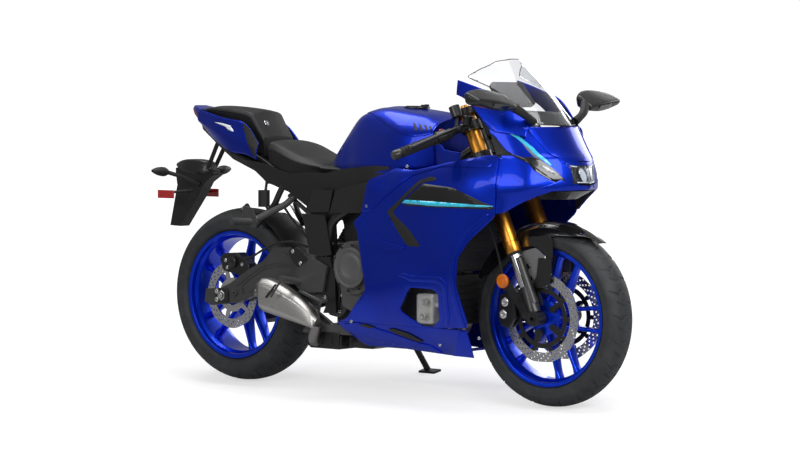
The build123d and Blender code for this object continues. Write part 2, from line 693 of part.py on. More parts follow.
def swingarm():
    """Two deep arms joined ahead of the tyre, with the pivot tube and the axle."""
    arm = side_plate(ARM_OUTLINE, *RIGHT_ARM) + side_plate(ARM_OUTLINE, *LEFT_ARM)
    x, z = PIVOT
    arm += rod((x, RIGHT_ARM[0] - 4, z), (x, LEFT_ARM[1] + 3, z), 26)
    arm += side_plate([(352, 374), (352, 416), (420, 424), (432, 400), (420, 374)], RIGHT_ARM[1] - 2, LEFT_ARM[0] + 2)
    arm -= rod((x, -300, z), (x, 300, z), PIVOT_BORE_R)
    for y0, y1 in (RIGHT_ARM, LEFT_ARM):
        out = y0 if y0 < 0 else y1
        window = side_plate([(95, 352), (130, 378), (205, 420), (280, 432), (330, 425), (330, 372), (200, 345), (95, 322)],
                            out - 5, out + 5)
        arm -= window
    x, z = REAR_AXLE
    arm += rod((x, RIGHT_ARM[0] - 14, z), (x, LEFT_ARM[1] + 14, z), AXLE_R)
    x0, z0 = SPOOL
    for inner, outer in ((RIGHT_ARM[0] + 2, RIGHT_ARM[0] - SPOOL_BOSS), (LEFT_ARM[1] - 2, LEFT_ARM[1] + SPOOL_BOSS)):
        arm += rod((x0, inner, z0), (x0, outer, z0), 11)
        depth = outer - math.copysign(SPOOL_DEPTH, outer)
        arm -= rod((x0, depth, z0), (x0, outer + math.copysign(1, outer), z0), SPOOL_BORE_R)
    arm += rod((x, -RIM_STOP, z), (x, RIGHT_ARM[1], z), 18)
    arm += rod((x, LEFT_ARM[0], z), (x, CHAIN_Y + 8, z), 18)
    return arm


RIM_STOP = 92.0
# x and height above the axle
REAR_CALIPER = ((-28, 88), (-46, 128), (-30, 151), (40, 155), (96, 116), (104, 76), (60, 72))


def shock_absorber():
    """Spring and damper between the swingarm's bridge and the frame."""
    foot, head = Vector(418, 0, 428), Vector(540, 0, 604)
    way = (head - foot).normalized()
    length = (head - foot).length
    unit = Solid.make_cylinder(11, length + 22.6, Plane(foot - way * 1.8, z_dir=way))
    coils = 7
    for coil in range(coils):
        at = foot + way * (60 + (length - 130) * coil / (coils - 1))
        unit += Solid.make_torus(30, 6.5, Plane(at, z_dir=way))
        unit += Solid.make_cylinder(31, 3, Plane(at, z_dir=way))
    unit += Solid.make_cylinder(34, 10, Plane(foot + way * 44, z_dir=way))
    return unit + Solid.make_cylinder(34, 10, Plane(head - way * 56, z_dir=way))


def rear_caliper():
    """Sliding caliper over the rear disc; its bracket rests against the arm."""
    body = side_plate([(x, REAR_TYRE_R + z) for x, z in REAR_CALIPER], RIGHT_ARM[1] + CLEAR, -58)
    y = -REAR_DISC_Y
    body -= rod((0, y - DISC_T / 2 - 5, REAR_TYRE_R), (0, y + DISC_T / 2 + 5, REAR_TYRE_R), REAR_DISC_R + 5)
    return body


# ---------------------------------------------------------------- tank and seats
# x, top z, shoulder y, shoulder z, crease y, crease z, edge y, edge z
TANK = (
    (468, 838, 30, 832, 56, 812, 66, 794),
    (520, 897, 45, 886, 84, 850, 100, 795),
    (578, 958, 62, 944, 98, 892, 118, 798),
    (636, 989, 80, 974, 112, 927, 138, 801),
    (724, 1002, 92, 986, 136, 920, 158, 801),
    (835, 993, 100, 978, 160, 908, 172, 799),
    (920, 983, 100, 966, 160, 905, 168, 797),
    (992, 969, 80, 952, 146, 915, 140, 805),
)


def full_ring(x, half, z_low):
    """Closed ring at one x from (y, z) points of one side, top first, with a middle point below."""
    right = [(x, -y, z) for y, z in half]
    left = [(x, y, z) for y, z in reversed(half) if y > 0]
    return right + [(x, 0, z_low)] + left


CAP = (800.0, 996.0)
CAP_R = 40.0
CAP_HINGE = (CAP[0] + 44.0, 0.0, CAP[1] + 8.5)


def fuel_tank():
    rings = []
    for x, top, ys, zs, yc, zc, ye, ze in TANK:
        rings.append(full_ring(x, [(0, top), (ys, zs), (yc, zc), (ye, ze)], ze))
    tank = ruled(rings)
    tank += rod((CAP[0], 0, CAP[1] - 30), (CAP[0], 0, CAP[1] + 4), CAP_R + 6)
    tank -= rod((CAP[0], 0, CAP[1] - 2), (CAP[0], 0, CAP[1] + 6), CAP_R)
    return tank + (block(976, 1004, -50, 50, 757, 812) - main_frame())


def fuel_cap():
    """Flush filler lid with its hinge knuckle at the front."""
    lid = rod((CAP[0], 0, CAP[1] - 2 + CLEAR), (CAP[0], 0, CAP[1] + 7), CAP_R - 1.5)
    x, _, z = CAP_HINGE
    return lid + block(CAP[0] + 26, x, -10, 10, CAP[1] + 4.5, z + 2) + rod((x, -10, z), (x, 10, z), 3.5)


# x, top z, shoulder y, shoulder z, edge y, edge z, underside z
RIDER_SEAT = (
    (206, 880, 95, 874, 118, 850, 791.7),
    (265, 868, 100, 860, 128, 838, 765.7),
    (350, 832, 90, 828, 128, 806, 752),
    (440, 806, 62, 802, 112, 790, 750),
    (462, 792, 66, 790, 112, 784, 750),
    (552, 790, 66, 788, 104, 780, 758),
)
PILLION_SEAT = (
    (-175, 992, 30, 990, 48, 984, 966),
    (-90, 1002, 45, 998, 66, 986, 924),
    (60, 990, 62, 984, 84, 970, 856),
    (104, 968, 66, 960, 84, 944, 837),
    (150, 896, 68, 890, 80, 880, 815),
)


def cushion(table):
    rings = []
    for x, top, ys, zs, ye, ze, low in table:
        rings.append(full_ring(x, [(0, top), (ys, zs), (ye, ze), (ye - 4, low)], low))
    return ruled(rings)


def rider_seat():
    return cushion(RIDER_SEAT)


def pillion_seat():
    return cushion(PILLION_SEAT)


# ---------------------------------------------------------------- bodywork
def offset_row(points, wall, drop):
    """The same row of points moved inward by the wall; drop names the axis that stays fixed."""
    keep = {"x": (1, 2), "z": (0, 1)}[drop]
    flat = [(p[keep[0]], p[keep[1]]) for p in points]
    moved = []
    for k, p in enumerate(flat):
        before, after = flat[max(k - 1, 0)], flat[min(k + 1, len(flat) - 1)]
        dx, dy = after[0] - before[0], after[1] - before[1]
        size = math.hypot(dx, dy)
        moved.append((p[0] - dy / size * wall, p[1] + dx / size * wall))
    fixed = 0 if drop == "x" else 2
    return [(points[0][fixed], a, b) if drop == "x" else (a, b, points[0][fixed]) for a, b in moved]


def skin(rows, wall, drop):
    """Thin ruled shell through rows of points."""
    return ruled([row + list(reversed(offset_row(row, wall, drop))) for row in rows])


# x, then y and z of top, shoulder, waist, middle, lower and bottom
SIDE_COWL = (
    (600, 150, 800, 186, 760, 196, 650, 208, 450, 184, 260, 110, 150),
    (750, 165, 808, 194, 770, 206, 660, 216, 450, 188, 260, 112, 150),
    (900, 175, 815, 204, 775, 218, 680, 228, 450, 190, 255, 118, 150),
    (1050, 185, 825, 216, 775, 232, 700, 236, 450, 190, 250, 125, 150),
    (1200, 195, 838, 226, 775, 238, 715, 240, 450, 200, 250, 160, 150),
    (1322, 198, 851, 209, 812, 226, 746, 226, 704, 228, 650, 216, 560),
)
BEAK_OUTLINE = [(1322, 840), (1364, 840), (1382, 830), (1416, 812), (1431, 792), (1471, 760), (1500, 744), (1548, 741),
                (1548, 727), (1477, 724), (1418, 696), (1343, 652), (1322, 640)]
VENT = [(854, 627), (878, 631), (942, 582), (980, 554), (1010, 533), (957, 535), (899, 584)]
VENT_PANEL = [(838, 636), (884, 643), (952, 590), (992, 562), (1030, 526), (952, 524), (888, 574)]
SIDE_OUTLINE = [(598, 255.3), (644, 268), (752, 372), (703, 576), (681, 602), (721, 628), (734, 680), (749, 748),
                (851, 784), (939, 772), (1100, 815), (1277, 841), (1316, 837), (1318, 640), (1222, 560), (1175, 499),
                (1163, 408), (1190, 292), (1186, 262), (1000, 255.3), (640, 255.3)]
SIDE_WINDOW = [(899, 311), (957, 391), (1065, 389), (1083, 370), (1070, 285), (1032, 258), (979, 259)]


def side_rows(inward=0.0):
    """Rows of the side fairing's surface, or of one that lies a little inside it."""
    rows = []
    for x, *pairs in SIDE_COWL:
        row = [(reach(x), -y, z) for y, z in zip(pairs[0::2], pairs[1::2])]
        rows.append(offset_row(row, inward, "x") if inward else row)
    return rows


def side_cowl(side):
    """Side fairing: a moulded sheet with its window and vent, a peg to the frame, and the beak's flank ahead of it."""
    sheet = skin(side_rows(), PANEL, "x") & side_plate(reached(SIDE_OUTLINE), -300, 0)
    peg = largest(rod((850, -134, 734), (850, -205, 734), 8) - main_frame())
    sheet = sheet + peg - side_plate(reached(SIDE_WINDOW), -300, 0) - side_plate(reached(VENT), -300, -150)
    beak = nose_skin(NOSE[:5], 0, PANEL) & side_plate(reached(BEAK_OUTLINE), -300, -0.5)
    parts = sheet.solids() + beak.solids()
    return parts if side < 0 else [mirrored(part) for part in parts]


def vent_panels():
    """Dark louvre plate behind each side vent."""
    panel = skin(side_rows(PANEL + CLEAR), 2.5, "x") & side_plate(reached(VENT_PANEL), -300, 0)
    return both_sides(panel)


BELLY_OUTLINE = [(585, 246), (679, 171), (833, 172), (1048, 160), (1120, 161), (1176, 200), (1182, 256), (1000, 255),
                 (600, 255), (590, 250)]


def belly_cowl():
    """Lower cowl: a side wall each side, joined under the front of the engine."""
    sheet = skin(side_rows(), PANEL, "x") & side_plate(reached(BELLY_OUTLINE), -300, 0)
    left = mirrored(sheet) - block(500, 705, 0, 300, 100, 400)
    bridge = block(1010, 1060, -134, 134, 166, 170)
    return sheet + left + bridge


# z, then x and y of the row from the middle outward
NOSE = (
    (650, 1440, 0, 1436, 48, 1418, 110, 1388, 160, 1362, 192, 1322, 228),
    (704, 1500, 0, 1494, 48, 1470, 110, 1425, 165, 1385, 200, 1322, 226),
    (746, 1538, 0, 1521, 48, 1498, 100, 1455, 152, 1408, 195, 1322, 226),
    (820, 1515, 0, 1497, 70, 1465, 122, 1425, 160, 1380, 188, 1322, 206),
    (851, 1490, 0, 1468, 87, 1440, 128, 1405, 160, 1360, 188, 1300, 204),
    (933, 1440, 0, 1402, 120, 1378, 146, 1350, 168, 1318, 186, 1272, 202),
)
NOSE_OUTLINE = [(1262, 990), (1277, 917), (1306, 893), (1346, 853), (1421, 821.8), (1473, 793.6), (1494, 760), (1515, 748),
                (1560, 745), (1560, 1000)]
LAMP_OUTLINE = [(1351, 851), (1421, 821.3), (1472.5, 793), (1493, 759.5), (1471, 761.3), (1431, 793.4), (1416, 813.4),
                (1382, 831.4), (1364, 841.3)]
INFILL_OUTLINE = [(1268, 928), (1312, 897), (1346, 864), (1348, 843), (1322, 842), (1277, 845), (1262, 856)]
LAMP_HALF = 62.0
LAMP_OPENING = (748.0, 818.0)
EAR = (
    # x, low y, low z, middle y, middle z, high y, high z
    (1396, 160, 900, 150, 925, 126, 938),
    (1330, 196, 915, 182, 955, 150, 1004),
    (1272, 202, 930, 188, 985, 160, 1040),
    (1190, 190, 1005, 182, 1030, 165, 1068),
    (1112, 172, 1040, 170, 1062, 165, 1090),
)


def nose_row(z, *pairs):
    half = list(zip(pairs[0::2], pairs[1::2]))
    return [(reach(x), y, z) for x, y in reversed(half)] + [(reach(x), -y, z) for x, y in half[1:]]


def nose_at(z):
    """The front end's row at a height between two lines of its table."""
    for (z0, *low), (z1, *high) in zip(NOSE, NOSE[1:]):
        if z0 <= z <= z1:
            return [a + (b - a) * (z - z0) / (z1 - z0) for a, b in zip(low, high)]
    raise ValueError(f"no row at {z}")


def nose_skin(table, inward, wall):
    """Shell of the front end, as thick as the wall, that lies inward of the outer surface."""
    rings = []
    for row in (nose_row(*line) for line in table):
        outer = offset_row(row, -inward, "z") if inward else row
        rings.append(outer + list(reversed(offset_row(row, -inward - wall, "z"))))
    return ruled(rings)


def cowl_post(radius):
    """Post that joins the right ear to the hood, and on which the mirror's arm sits."""
    return rod((reach(1390), -134, 931), (reach(1396), -108, 952), radius)


def nose_cowl():
    """Front cowl: the hood over the lamp, and an ear each side up beside the screen."""
    hood = nose_skin(NOSE[2:], 0, PANEL) & side_plate(reached(NOSE_OUTLINE), -300, 300)
    ears = []
    for x, *pairs in EAR:
        ears.append([(reach(x), -y, z) for y, z in reversed(list(zip(pairs[0::2], pairs[1::2])))])
    ear = skin(ears, PANEL, "x")
    low, high = LAMP_OPENING
    opening = block(reach(1380), reach(1600), -LAMP_HALF, LAMP_HALF, low - 40, high)
    cowl = hood + ear + mirrored(ear) - opening
    cowl += cowl_post(5) + mirrored(cowl_post(5))
    return largest(cowl - windscreen())


def cowl_infill():
    """Black panel in the gap between hood and side fairing."""
    return both_sides(nose_skin(NOSE[3:], PANEL + CLEAR, 2.5) & side_plate(reached(INFILL_OUTLINE), -300, -100))


def chin_cowl():
    """Black tray under the lamp, between the beak's flanks."""
    rings = []
    for z, inward, share in ((694, 14, 0.62), (722, PANEL + 2 * CLEAR, 1.0)):
        row = [p for p in offset_row(nose_row(z, *nose_at(z)), -inward, "z") if abs(p[1]) < 170]
        row = [(x - (1 - share) * 12, y * share, z) for x, y, z in row]
        rings.append(row)
    return ruled(rings)


# z, then x and y of the screen's row from the middle outward
SCREEN = (
    (930, 1453, 0, 1441, 50, 1416, 104, 1392, 136),
    (1010, 1380, 0, 1368, 56, 1333, 112, 1284, 158),
    (1062, 1331, 0, 1318, 56, 1280, 112, 1215, 160),
    (1102, 1292, 0, 1278, 50, 1232, 100, 1130, 148),
    (1168, 1228, 0, 1212, 40, 1165, 80, 1060, 120),
)
SCREEN_T = 3.0
SCREEN_TRIM = [(1470, 938), (1404, 942), (1249, 1058), (1136, 1102), (1231, 1166), (1300, 1160), (1500, 1000)]


def windscreen():
    rows = [nose_row(*row) for row in SCREEN]
    sheet = ruled([row + list(reversed(offset_row(row, -SCREEN_T, "z"))) for row in rows])
    return sheet & side_plate(reached(SCREEN_TRIM), -300, 300)


def headlamp():
    """Lens behind the hood's opening, with the lamp's housing behind it."""
    low, high = LAMP_OPENING
    x = reach(1440)
    lens = nose_skin(NOSE[2:5], PANEL + CLEAR, 4.0) & block(x - 60, x + 160, -LAMP_HALF - 8, LAMP_HALF + 8, low - 1, high + 5)
    housing = rod((x - 50, 0, 784), (x + 30, 0, 784), 34) + block(x - 54, x - 44, -70, 70, 752, 816)
    for side in (-1, 1):
        housing += block(x - 46, x + 54, side * 66 - 4, side * 66 + 4, 760, 808)
    return lens + housing


def position_lamps():
    """A slim position lamp each side, in the seam between hood and flank."""
    lamp = nose_skin(NOSE[2:], 0.5, 6.0) & side_plate(reached(LAMP_OUTLINE), -300, -60)
    return both_sides(lamp)


def mirrors():
    """Folding arm and head each side of the screen."""
    arm = rod((1392, -116, 950), (1388, -170, 980), 9) + rod((1388, -170, 980), (1360, -215, 1010), 9)
    arm = Pos(reach(1392) - 1392, 0, 0) * arm - cowl_post(5 + CLEAR)
    head = ruled([
        [(1400, -205, 1000), (1385, -205, 985), (1335, -205, 1000), (1330, -205, 1030), (1345, -205, 1040)],
        [(1398, -290, 1015), (1385, -290, 985), (1305, -290, 1000), (1295, -290, 1050), (1315, -290, 1060)],
        [(1385, -400, 1025), (1375, -400, 1008), (1330, -400, 1008), (1322, -400, 1040), (1335, -400, 1048)],
    ])
    return both_sides(largest(arm + Pos(reach(1392) - 1392, 0, 0) * head))


def instrument_panel():
    """Flat display carried on the cowl stay."""
    panel = Location((1215, 0, 1040), (0, -38, 0)) * Box(24, 168, 92)
    return panel


def cowl_stay():
    start = Vector(*on_steering(888)) + AHEAD * (HEAD_R + CLEAR)
    stay = rod(tuple(start), tuple(start + AHEAD * 20), 11) + rod(tuple(start + AHEAD * 14), (1190, 0, 940), 11)
    stay += rod((1190, 0, 940), (1222, 0, 1012), 9)
    stay += rod((1190, 0, 940), (1330, 0, 930), 9) + rod((1330, -150, 925), (1330, 150, 925), 8)
    stay += rod((1330, 0, 930), (1410, 0, 790), 8)
    return largest(stay - headlamp() - instrument_panel())


TAIL_COWL = (
    # x, then y and z of the side from its top edge to its bottom edge
    (156, 112, 868, 124, 840, 126, 808),
    (88, 106, 936, 122, 880, 116, 828),
    (10, 98, 953, 112, 895, 104, 836),
    (-75, 86, 966, 98, 915, 82, 868),
    (-130, 76, 978, 84, 930, 66, 896),
    (-190, 64, 988, 68, 950, 52, 938),
)


def tail_cowl():
    """Two flanks joined behind the pillion seat by the tail's tip."""
    rows = []
    for x, *pairs in TAIL_COWL:
        rows.append([(x, -y, z) for y, z in zip(pairs[0::2], pairs[1::2])])
    flank = skin(rows, PANEL, "x")
    tip = ruled([
        [(-186, -64, 988), (-186, -68, 952), (-186, 68, 952), (-186, 64, 988)],
        [(-238, -34, 1004), (-244, -36, 990), (-244, 36, 990), (-238, 34, 1004)],
    ])
    flank += largest(rod((10, -62, 866), (10, -106, 866), 6) - seat_rail(-1))
    return flank + mirrored(flank) + tip


def tail_under():
    """Dark tray below the tail, hung on a post from the rear cross tube."""
    tray = ruled([
        [(190, -96, 758), (190, -100, 722), (190, 100, 722), (190, 96, 758)],
        [(132, -108, 790), (132, -100, 766), (132, 100, 766), (132, 108, 790)],
        [(0, -94, 832), (0, -80, 808), (0, 80, 808), (0, 94, 832)],
        [(-75, -74, 864), (-75, -62, 846), (-75, 62, 846), (-75, 74, 864)],
        [(-190, -46, 932), (-190, -40, 915), (-190, 40, 915), (-190, 46, 932)],
    ])
    return tray + (rod((60, 0, 805), (60, 0, 840), 8) - main_frame())


def tail_lamp():
    return ruled([
        [(-192, -42, 955.4), (-192, -38, 927), (-192, 38, 927), (-192, 42, 955.4)],
        [(-250, -31, 993.4), (-246, -27, 972), (-246, 27, 972), (-250, 31, 993.4)],
    ])


def plate_carrier():
    """Tapered bracket behind the tail on two struts, with ears for the reflectors."""
    bracket = side_plate([(-339, 706), (-376, 555), (-324, 553), (-233, 665), (-194, 720), (-148, 747)], -24, 24)
    for side in (-1, 1):
        bracket += rod((-222, side * 15, 708), (-122, side * 24, 880), 8) - tail_under()
        bracket += rod((-262, side * 20, 688), (-304, side * (REFLECTOR_REAR_Y - 1.5), 680), 5)
    return largest(bracket)


REFLECTOR_REAR_Y = 116.0


def rear_signals():
    stalk = rod((-222, -27, 712), (-280, -140, 758), 7)
    return both_sides(stalk + lathe((-280, -136, 758), (-286, -212, 764), [(0, 8), (0.12, 15), (0.7, 16), (1, 11)]))


def rear_reflectors():
    """Oblong reflector facing out on each side of the bracket."""
    plate = block(-344, -264, -REFLECTOR_REAR_Y - 6, -REFLECTOR_REAR_Y, 660, 690)
    return both_sides(plate)


COVER_Y = (-PLATE_Y[0] - 9.0, -PLATE_Y[0] - 5.0)
# outline, then x and z of its peg
SIDE_COVERS = (
    ([(465, 707), (554, 709), (535, 632), (423, 629)], (510, 670)),
    ([(567, 710), (740, 748), (700, 661), (682, 633), (538, 628)], (620, 652)),
    ([(412, 624), (516, 620), (549, 483), (498, 475), (446, 482)], (520, 560)),
)
# x, then y and z of the strip's top and bottom edges
SEAT_PANEL = (
    (100, 122, 806, 118, 792),
    (146, 124, 803, 120, 768),
    (206, 128, 793, 122, 728),
    (315, 134, 764, 128, 697),
    (396, 138, 764, 130, 652),
    (500, 140, 766, 134, 682),
    (560, 141, 780, 140, 702),
    (736, 160, 797, 152, 752),
    (815, 170, 795, 166, 784),
)


def side_covers():
    """Flat covers over the frame below tank and seat, pegged to the frame."""
    out = []
    for outline, peg in SIDE_COVERS:
        cover = side_plate(outline, *COVER_Y)
        cover += rod((peg[0], COVER_Y[0] + 2, peg[1]), (peg[0], COVER_Y[1] + 30, peg[1]), 8)
        out += both_sides(largest(cover - main_frame()))
    return out


def seat_panels():
    """Black strip each side under the seat and the tank, pegged to the seat rail."""
    rows = [[(x, -y0, z0), (x, -y1, z1)] for x, y0, z0, y1, z1 in SEAT_PANEL]
    strip = skin(rows, 3.0, "x")
    for x, inner, outer, z in ((206, 80, 125, 775), (350, 96, 129, 716)):
        strip += rod((x, -inner, z), (x, -outer, z), 6)
    return both_sides(largest(strip - seat_rail(-1)))


def brake_reservoir():
    """Rear brake's fluid cup on a short arm from the tray."""
    arm = rod((196, -118, 700), (180, -94, 736), 5) - tail_under()
    return rod((199, -130, 641), (199, -130, 701), 21) + min(arm.solids(), key=lambda s: s.center().Z)


def rear_hugger():
    """Small arch ahead of the rear tyre on tabs from the swingarm."""
    r = REAR_TYRE_R + HUGGER_GAP
    outer = [(0, r + 3), (55, r - 2), (82, r - 12)]
    half = outer + [(y, q - 3) for y, q in reversed(outer)]
    face = make_face(Polyline(*[(q, y) for y, q in half], close=True))
    arch = Location((0, 0, REAR_TYRE_R), (0, -66, 0)) * revolve(face, axis=Axis.Y, revolution_arc=52)
    arch = arch + mirrored(arch)
    a = math.radians(24)
    x, z = (r - 10) * math.cos(a), REAR_TYRE_R + (r - 10) * math.sin(a)
    arch += rod((x, -76, z), (x, RIGHT_ARM[1] + CLEAR, z), 6)
    return arch + rod((x, 76, z), (x, CHAIN_Y - CHAIN_W / 2 - 3, z), 6)


HUGGER_GAP = 13.0


def chain_guard():
    """Guard over the chain's upper run, fixed to the left arm."""
    strip = [(-20, 441), (60, 443), (420, 460), (420, 463), (60, 446), (-20, 444)]
    return side_plate(strip, CHAIN_Y - 10, LEFT_ARM[0] - CLEAR)


def footrests():
    """Hangers, pegs and pedals for the rider, and the pillion's hangers."""
    face = -PLATE_Y[1] - CLEAR
    right = side_plate([(470, 470), (540, 440), (520, 352), (430, 345), (398, 366), (384, 396), (400, 430)], face - 12, face)
    right += rod((412, face - 8, 383), (401, -262, 399), 12)
    right += rod((401, -256, 399), (349, -258, 332), 4)
    pedal = bent_tube([(420, -184, 352), (520, -190, 322), (560, -200, 324), (566, -235, 324)], 6, [30, 10])
    left = mirrored(right + pedal)
    right += pedal
    hanger = bent_tube([(336, -99, 692), (300, -126, 652), (215, -180, 600), (206, -215, 590)], 12, [16, 14])
    hanger = largest(hanger - main_frame())
    hanger += rod((206, -200, 590), (196, -296, 594), 13)
    hanger += side_plate([(171, 646), (214, 640), (239, 590), (232, 569), (190, 572), (171, 600)], -212, -204)
    return [right, left, hanger, mirrored(hanger)]


def ribbed_guard():
    """Ribbed shield behind the front wheel, hung from the radiator's lower edge."""
    z_top = RADIATOR[2] - CLEAR
    guard = block(1062, 1070, -110, 110, 262, z_top)
    guard += block(RADIATOR[0], 1066, -RADIATOR[4], RADIATOR[4], z_top - 4, z_top)
    for rib in range(6):
        guard += block(1069, 1078, -104, 104, 275 + rib * 24, 281 + rib * 24)
    return guard


def canister():
    """Rounded silver box behind the side window, with a round boss, on a strap to the cowl."""
    can = Pos(990, -171, 317) * Box(73, 42, 102)
    can = fillet(can.edges(), 9)
    can += rod((979, -190, 343), (979, -196, 343), 12)
    can += rod((1020, -170, 330), (1094, -170, 330), 8)
    strap = block(1088, 1094, -225, -165, 322, 338) - skin(side_rows(), PANEL, "x")
    return can + max(strap.solids(), key=lambda s: s.center().Y)


# ---------------------------------------------------------------- stand
def stand_leg():
    """Side stand: hinge boss, leg and a foot that lies flat on the floor."""
    foot = (STAND_FOOT[0], STAND_FOOT[1], floor_under(*STAND_FOOT) + 9)
    boss = rod(beside_stand(-10), beside_stand(10), 17)
    leg = boss + rod(STAND_PIVOT, foot, 11)
    leg -= rod(beside_stand(-30), beside_stand(30), STAND_PIN_R + CLEAR)
    middle = (STAND_FOOT[0] + 6, STAND_FOOT[1] + 4)
    tilt = Location((*middle, floor_under(*middle)), (LEAN, 0, 0))
    pad = tilt * Pos(0, 0, 4) * Box(72, 40, 8)
    return leg + pad


# ---------------------------------------------------------------- lean and export
def lowest(profile, axle):
    """Height of a leaned tyre's lowest point when its axle is at its upright height."""
    lean = math.radians(LEAN)
    return axle[1] * math.cos(lean) - max(y * math.sin(lean) + r * math.cos(lean) for y, r in profile)


LOW_FRONT = lowest(FRONT_PROFILE, FRONT_AXLE)
LOW_REAR = lowest(REAR_PROFILE, REAR_AXLE)
PITCH = math.degrees(math.atan2(LOW_FRONT - LOW_REAR, WHEELBASE))


def floor_under(x, y):
    """Height of the floor in the upright frame below a point of its plan."""
    lean = math.radians(LEAN)
    return (y * math.sin(lean) + LOW_REAR) / math.cos(lean) + x * math.tan(math.radians(PITCH))


NODES = {
    "main_frame": main_frame,
    "cowl_stay": cowl_stay,
    "engine": engine,
    "engine_covers": engine_covers,
    "radiator": radiator,
    "exhaust_headers": exhaust_headers,
    "collector_box": collector_box,
    "silencer": silencer,
    "swingarm": swingarm,
    "shock_absorber": shock_absorber,
    "chain": chain,
    "rear_caliper": rear_caliper,
    "fuel_tank": fuel_tank,
    "rider_seat": rider_seat,
    "pillion_seat": pillion_seat,
    "seat_panels": seat_panels,
    "tail_cowl": tail_cowl,
    "tail_under": tail_under,
    "tail_lamp": tail_lamp,
    "plate_carrier": plate_carrier,
    "rear_signals": rear_signals,
    "rear_reflectors": rear_reflectors,
    "side_covers": side_covers,
    "brake_reservoir": brake_reservoir,
    "rear_hugger": rear_hugger,
    "chain_guard": chain_guard,
    "side_cowl_right": lambda: side_cowl(-1),
    "side_cowl_left": lambda: side_cowl(1),
    "belly_cowl": belly_cowl,
    "vent_panels": vent_panels,
    "cowl_infill": cowl_infill,
    "nose_cowl": nose_cowl,
    "chin_cowl": chin_cowl,
    "windscreen": windscreen,
    "headlamp": headlamp,
    "position_lamps": position_lamps,
    "mirrors": mirrors,
    "instrument_panel": instrument_panel,
    "footrests": footrests,
    "ribbed_guard": ribbed_guard,
    "canister": canister,
    "fork_tubes": fork_tubes,
    "fork_lowers": fork_lowers,
    "triple_clamps": triple_clamps,
    "handlebars": handlebars,
    "grips": grips,
    "levers": levers,
    "front_fender": front_fender,
    "front_calipers": front_calipers,
    "side_reflectors": side_reflectors,
    "front_rim": front_rim,
    "front_tyre": lambda: tyre(FRONT_PROFILE, FRONT_RIM_W, FRONT_AXLE),
    "front_discs": lambda: [front_disc(-FRONT_DISC_Y), front_disc(FRONT_DISC_Y)],
    "rear_rim": rear_rim,
    "rear_tyre": lambda: tyre(REAR_PROFILE, REAR_RIM_W, REAR_AXLE),
    "rear_disc": rear_disc,
    "rear_sprocket": lambda: sprocket() + wheel_hub_rear(),
    "stand_leg": stand_leg,
    "fuel_cap": fuel_cap,
}


def placement(box):
    """Shift that puts the middle of the leaned box on the origin, with its lowest point on the floor."""
    return Pos(-(box.min.X + box.max.X) / 2, -(box.min.Y + box.max.Y) / 2, -box.min.Z)


TILT = Rotation(-LEAN, 0, 0) * Rotation(0, PITCH, 0)


def build():
    """Every node as one compound, leaned and shifted."""
    leaned = {}
    for name, make in NODES.items():
        made = make()
        parts = made if isinstance(made, list) else [made]
        solids = [s for part in parts for s in part.solids()]
        leaned[name] = [TILT * solid for solid in solids]
    whole = Compound([solid for solids in leaned.values() for solid in solids])
    shift = placement(whole.bounding_box())
    return {name: Compound([shift * solid for solid in solids]) for name, solids in leaned.items()}, shift


def main():
    os.makedirs("parts", exist_ok=True)
    shapes, shift = build()
    for name, shape in shapes.items():
        export_step(shape, f"parts/{name}.step")
    print("shift", tuple(round(v, 4) for v in shift.position), "pitch", round(PITCH, 5))


if __name__ == "__main__":
    main()
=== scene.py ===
# %% [markdown]
# # Dressing a sport bike
# A fully faired sport bike is a painted shell round an engine, hung on a tube frame, between two
# wide tyres. The solids say where every part is and how it moves. This script gives each part the
# shape and the finish that the eye expects, without moving anything.
#
# The first step loads the solids. Everything later is placed by them.

import json
import math

import bmesh
import bpy
import numpy as np
from mathutils import Matrix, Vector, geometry

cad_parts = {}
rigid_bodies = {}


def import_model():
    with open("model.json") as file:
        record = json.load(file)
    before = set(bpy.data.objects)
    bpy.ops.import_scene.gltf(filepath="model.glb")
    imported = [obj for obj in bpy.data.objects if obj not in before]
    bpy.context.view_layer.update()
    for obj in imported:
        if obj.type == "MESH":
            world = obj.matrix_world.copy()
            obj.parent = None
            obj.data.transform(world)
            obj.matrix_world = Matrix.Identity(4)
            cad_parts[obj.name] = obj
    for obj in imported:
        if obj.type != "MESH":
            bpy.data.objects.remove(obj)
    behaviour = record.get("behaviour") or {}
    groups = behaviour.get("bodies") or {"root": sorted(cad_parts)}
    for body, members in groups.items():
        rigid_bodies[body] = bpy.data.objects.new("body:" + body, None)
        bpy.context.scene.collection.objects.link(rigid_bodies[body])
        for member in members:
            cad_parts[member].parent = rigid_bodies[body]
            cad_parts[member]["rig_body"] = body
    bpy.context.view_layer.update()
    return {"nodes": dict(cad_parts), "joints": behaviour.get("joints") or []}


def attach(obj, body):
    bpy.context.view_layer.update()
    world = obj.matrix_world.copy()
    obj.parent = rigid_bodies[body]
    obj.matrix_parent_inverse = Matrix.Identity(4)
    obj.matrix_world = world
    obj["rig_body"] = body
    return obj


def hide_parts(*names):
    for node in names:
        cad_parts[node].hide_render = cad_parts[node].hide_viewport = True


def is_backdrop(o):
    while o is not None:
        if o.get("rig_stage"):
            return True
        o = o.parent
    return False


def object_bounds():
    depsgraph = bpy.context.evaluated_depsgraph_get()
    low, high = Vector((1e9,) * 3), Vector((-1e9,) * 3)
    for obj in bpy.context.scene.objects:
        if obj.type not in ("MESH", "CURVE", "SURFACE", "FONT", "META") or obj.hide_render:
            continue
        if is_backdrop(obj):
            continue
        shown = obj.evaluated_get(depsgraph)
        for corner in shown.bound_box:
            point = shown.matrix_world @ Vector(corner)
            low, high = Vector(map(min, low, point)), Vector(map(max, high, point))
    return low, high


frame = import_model()


def plain_box():
    return [[float(v) for v in corner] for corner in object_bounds()]


MM = 1000.0  # millimetres in a metre
TINY = 1e-9
SIDES = ((-1, "right"), (1, "left"))

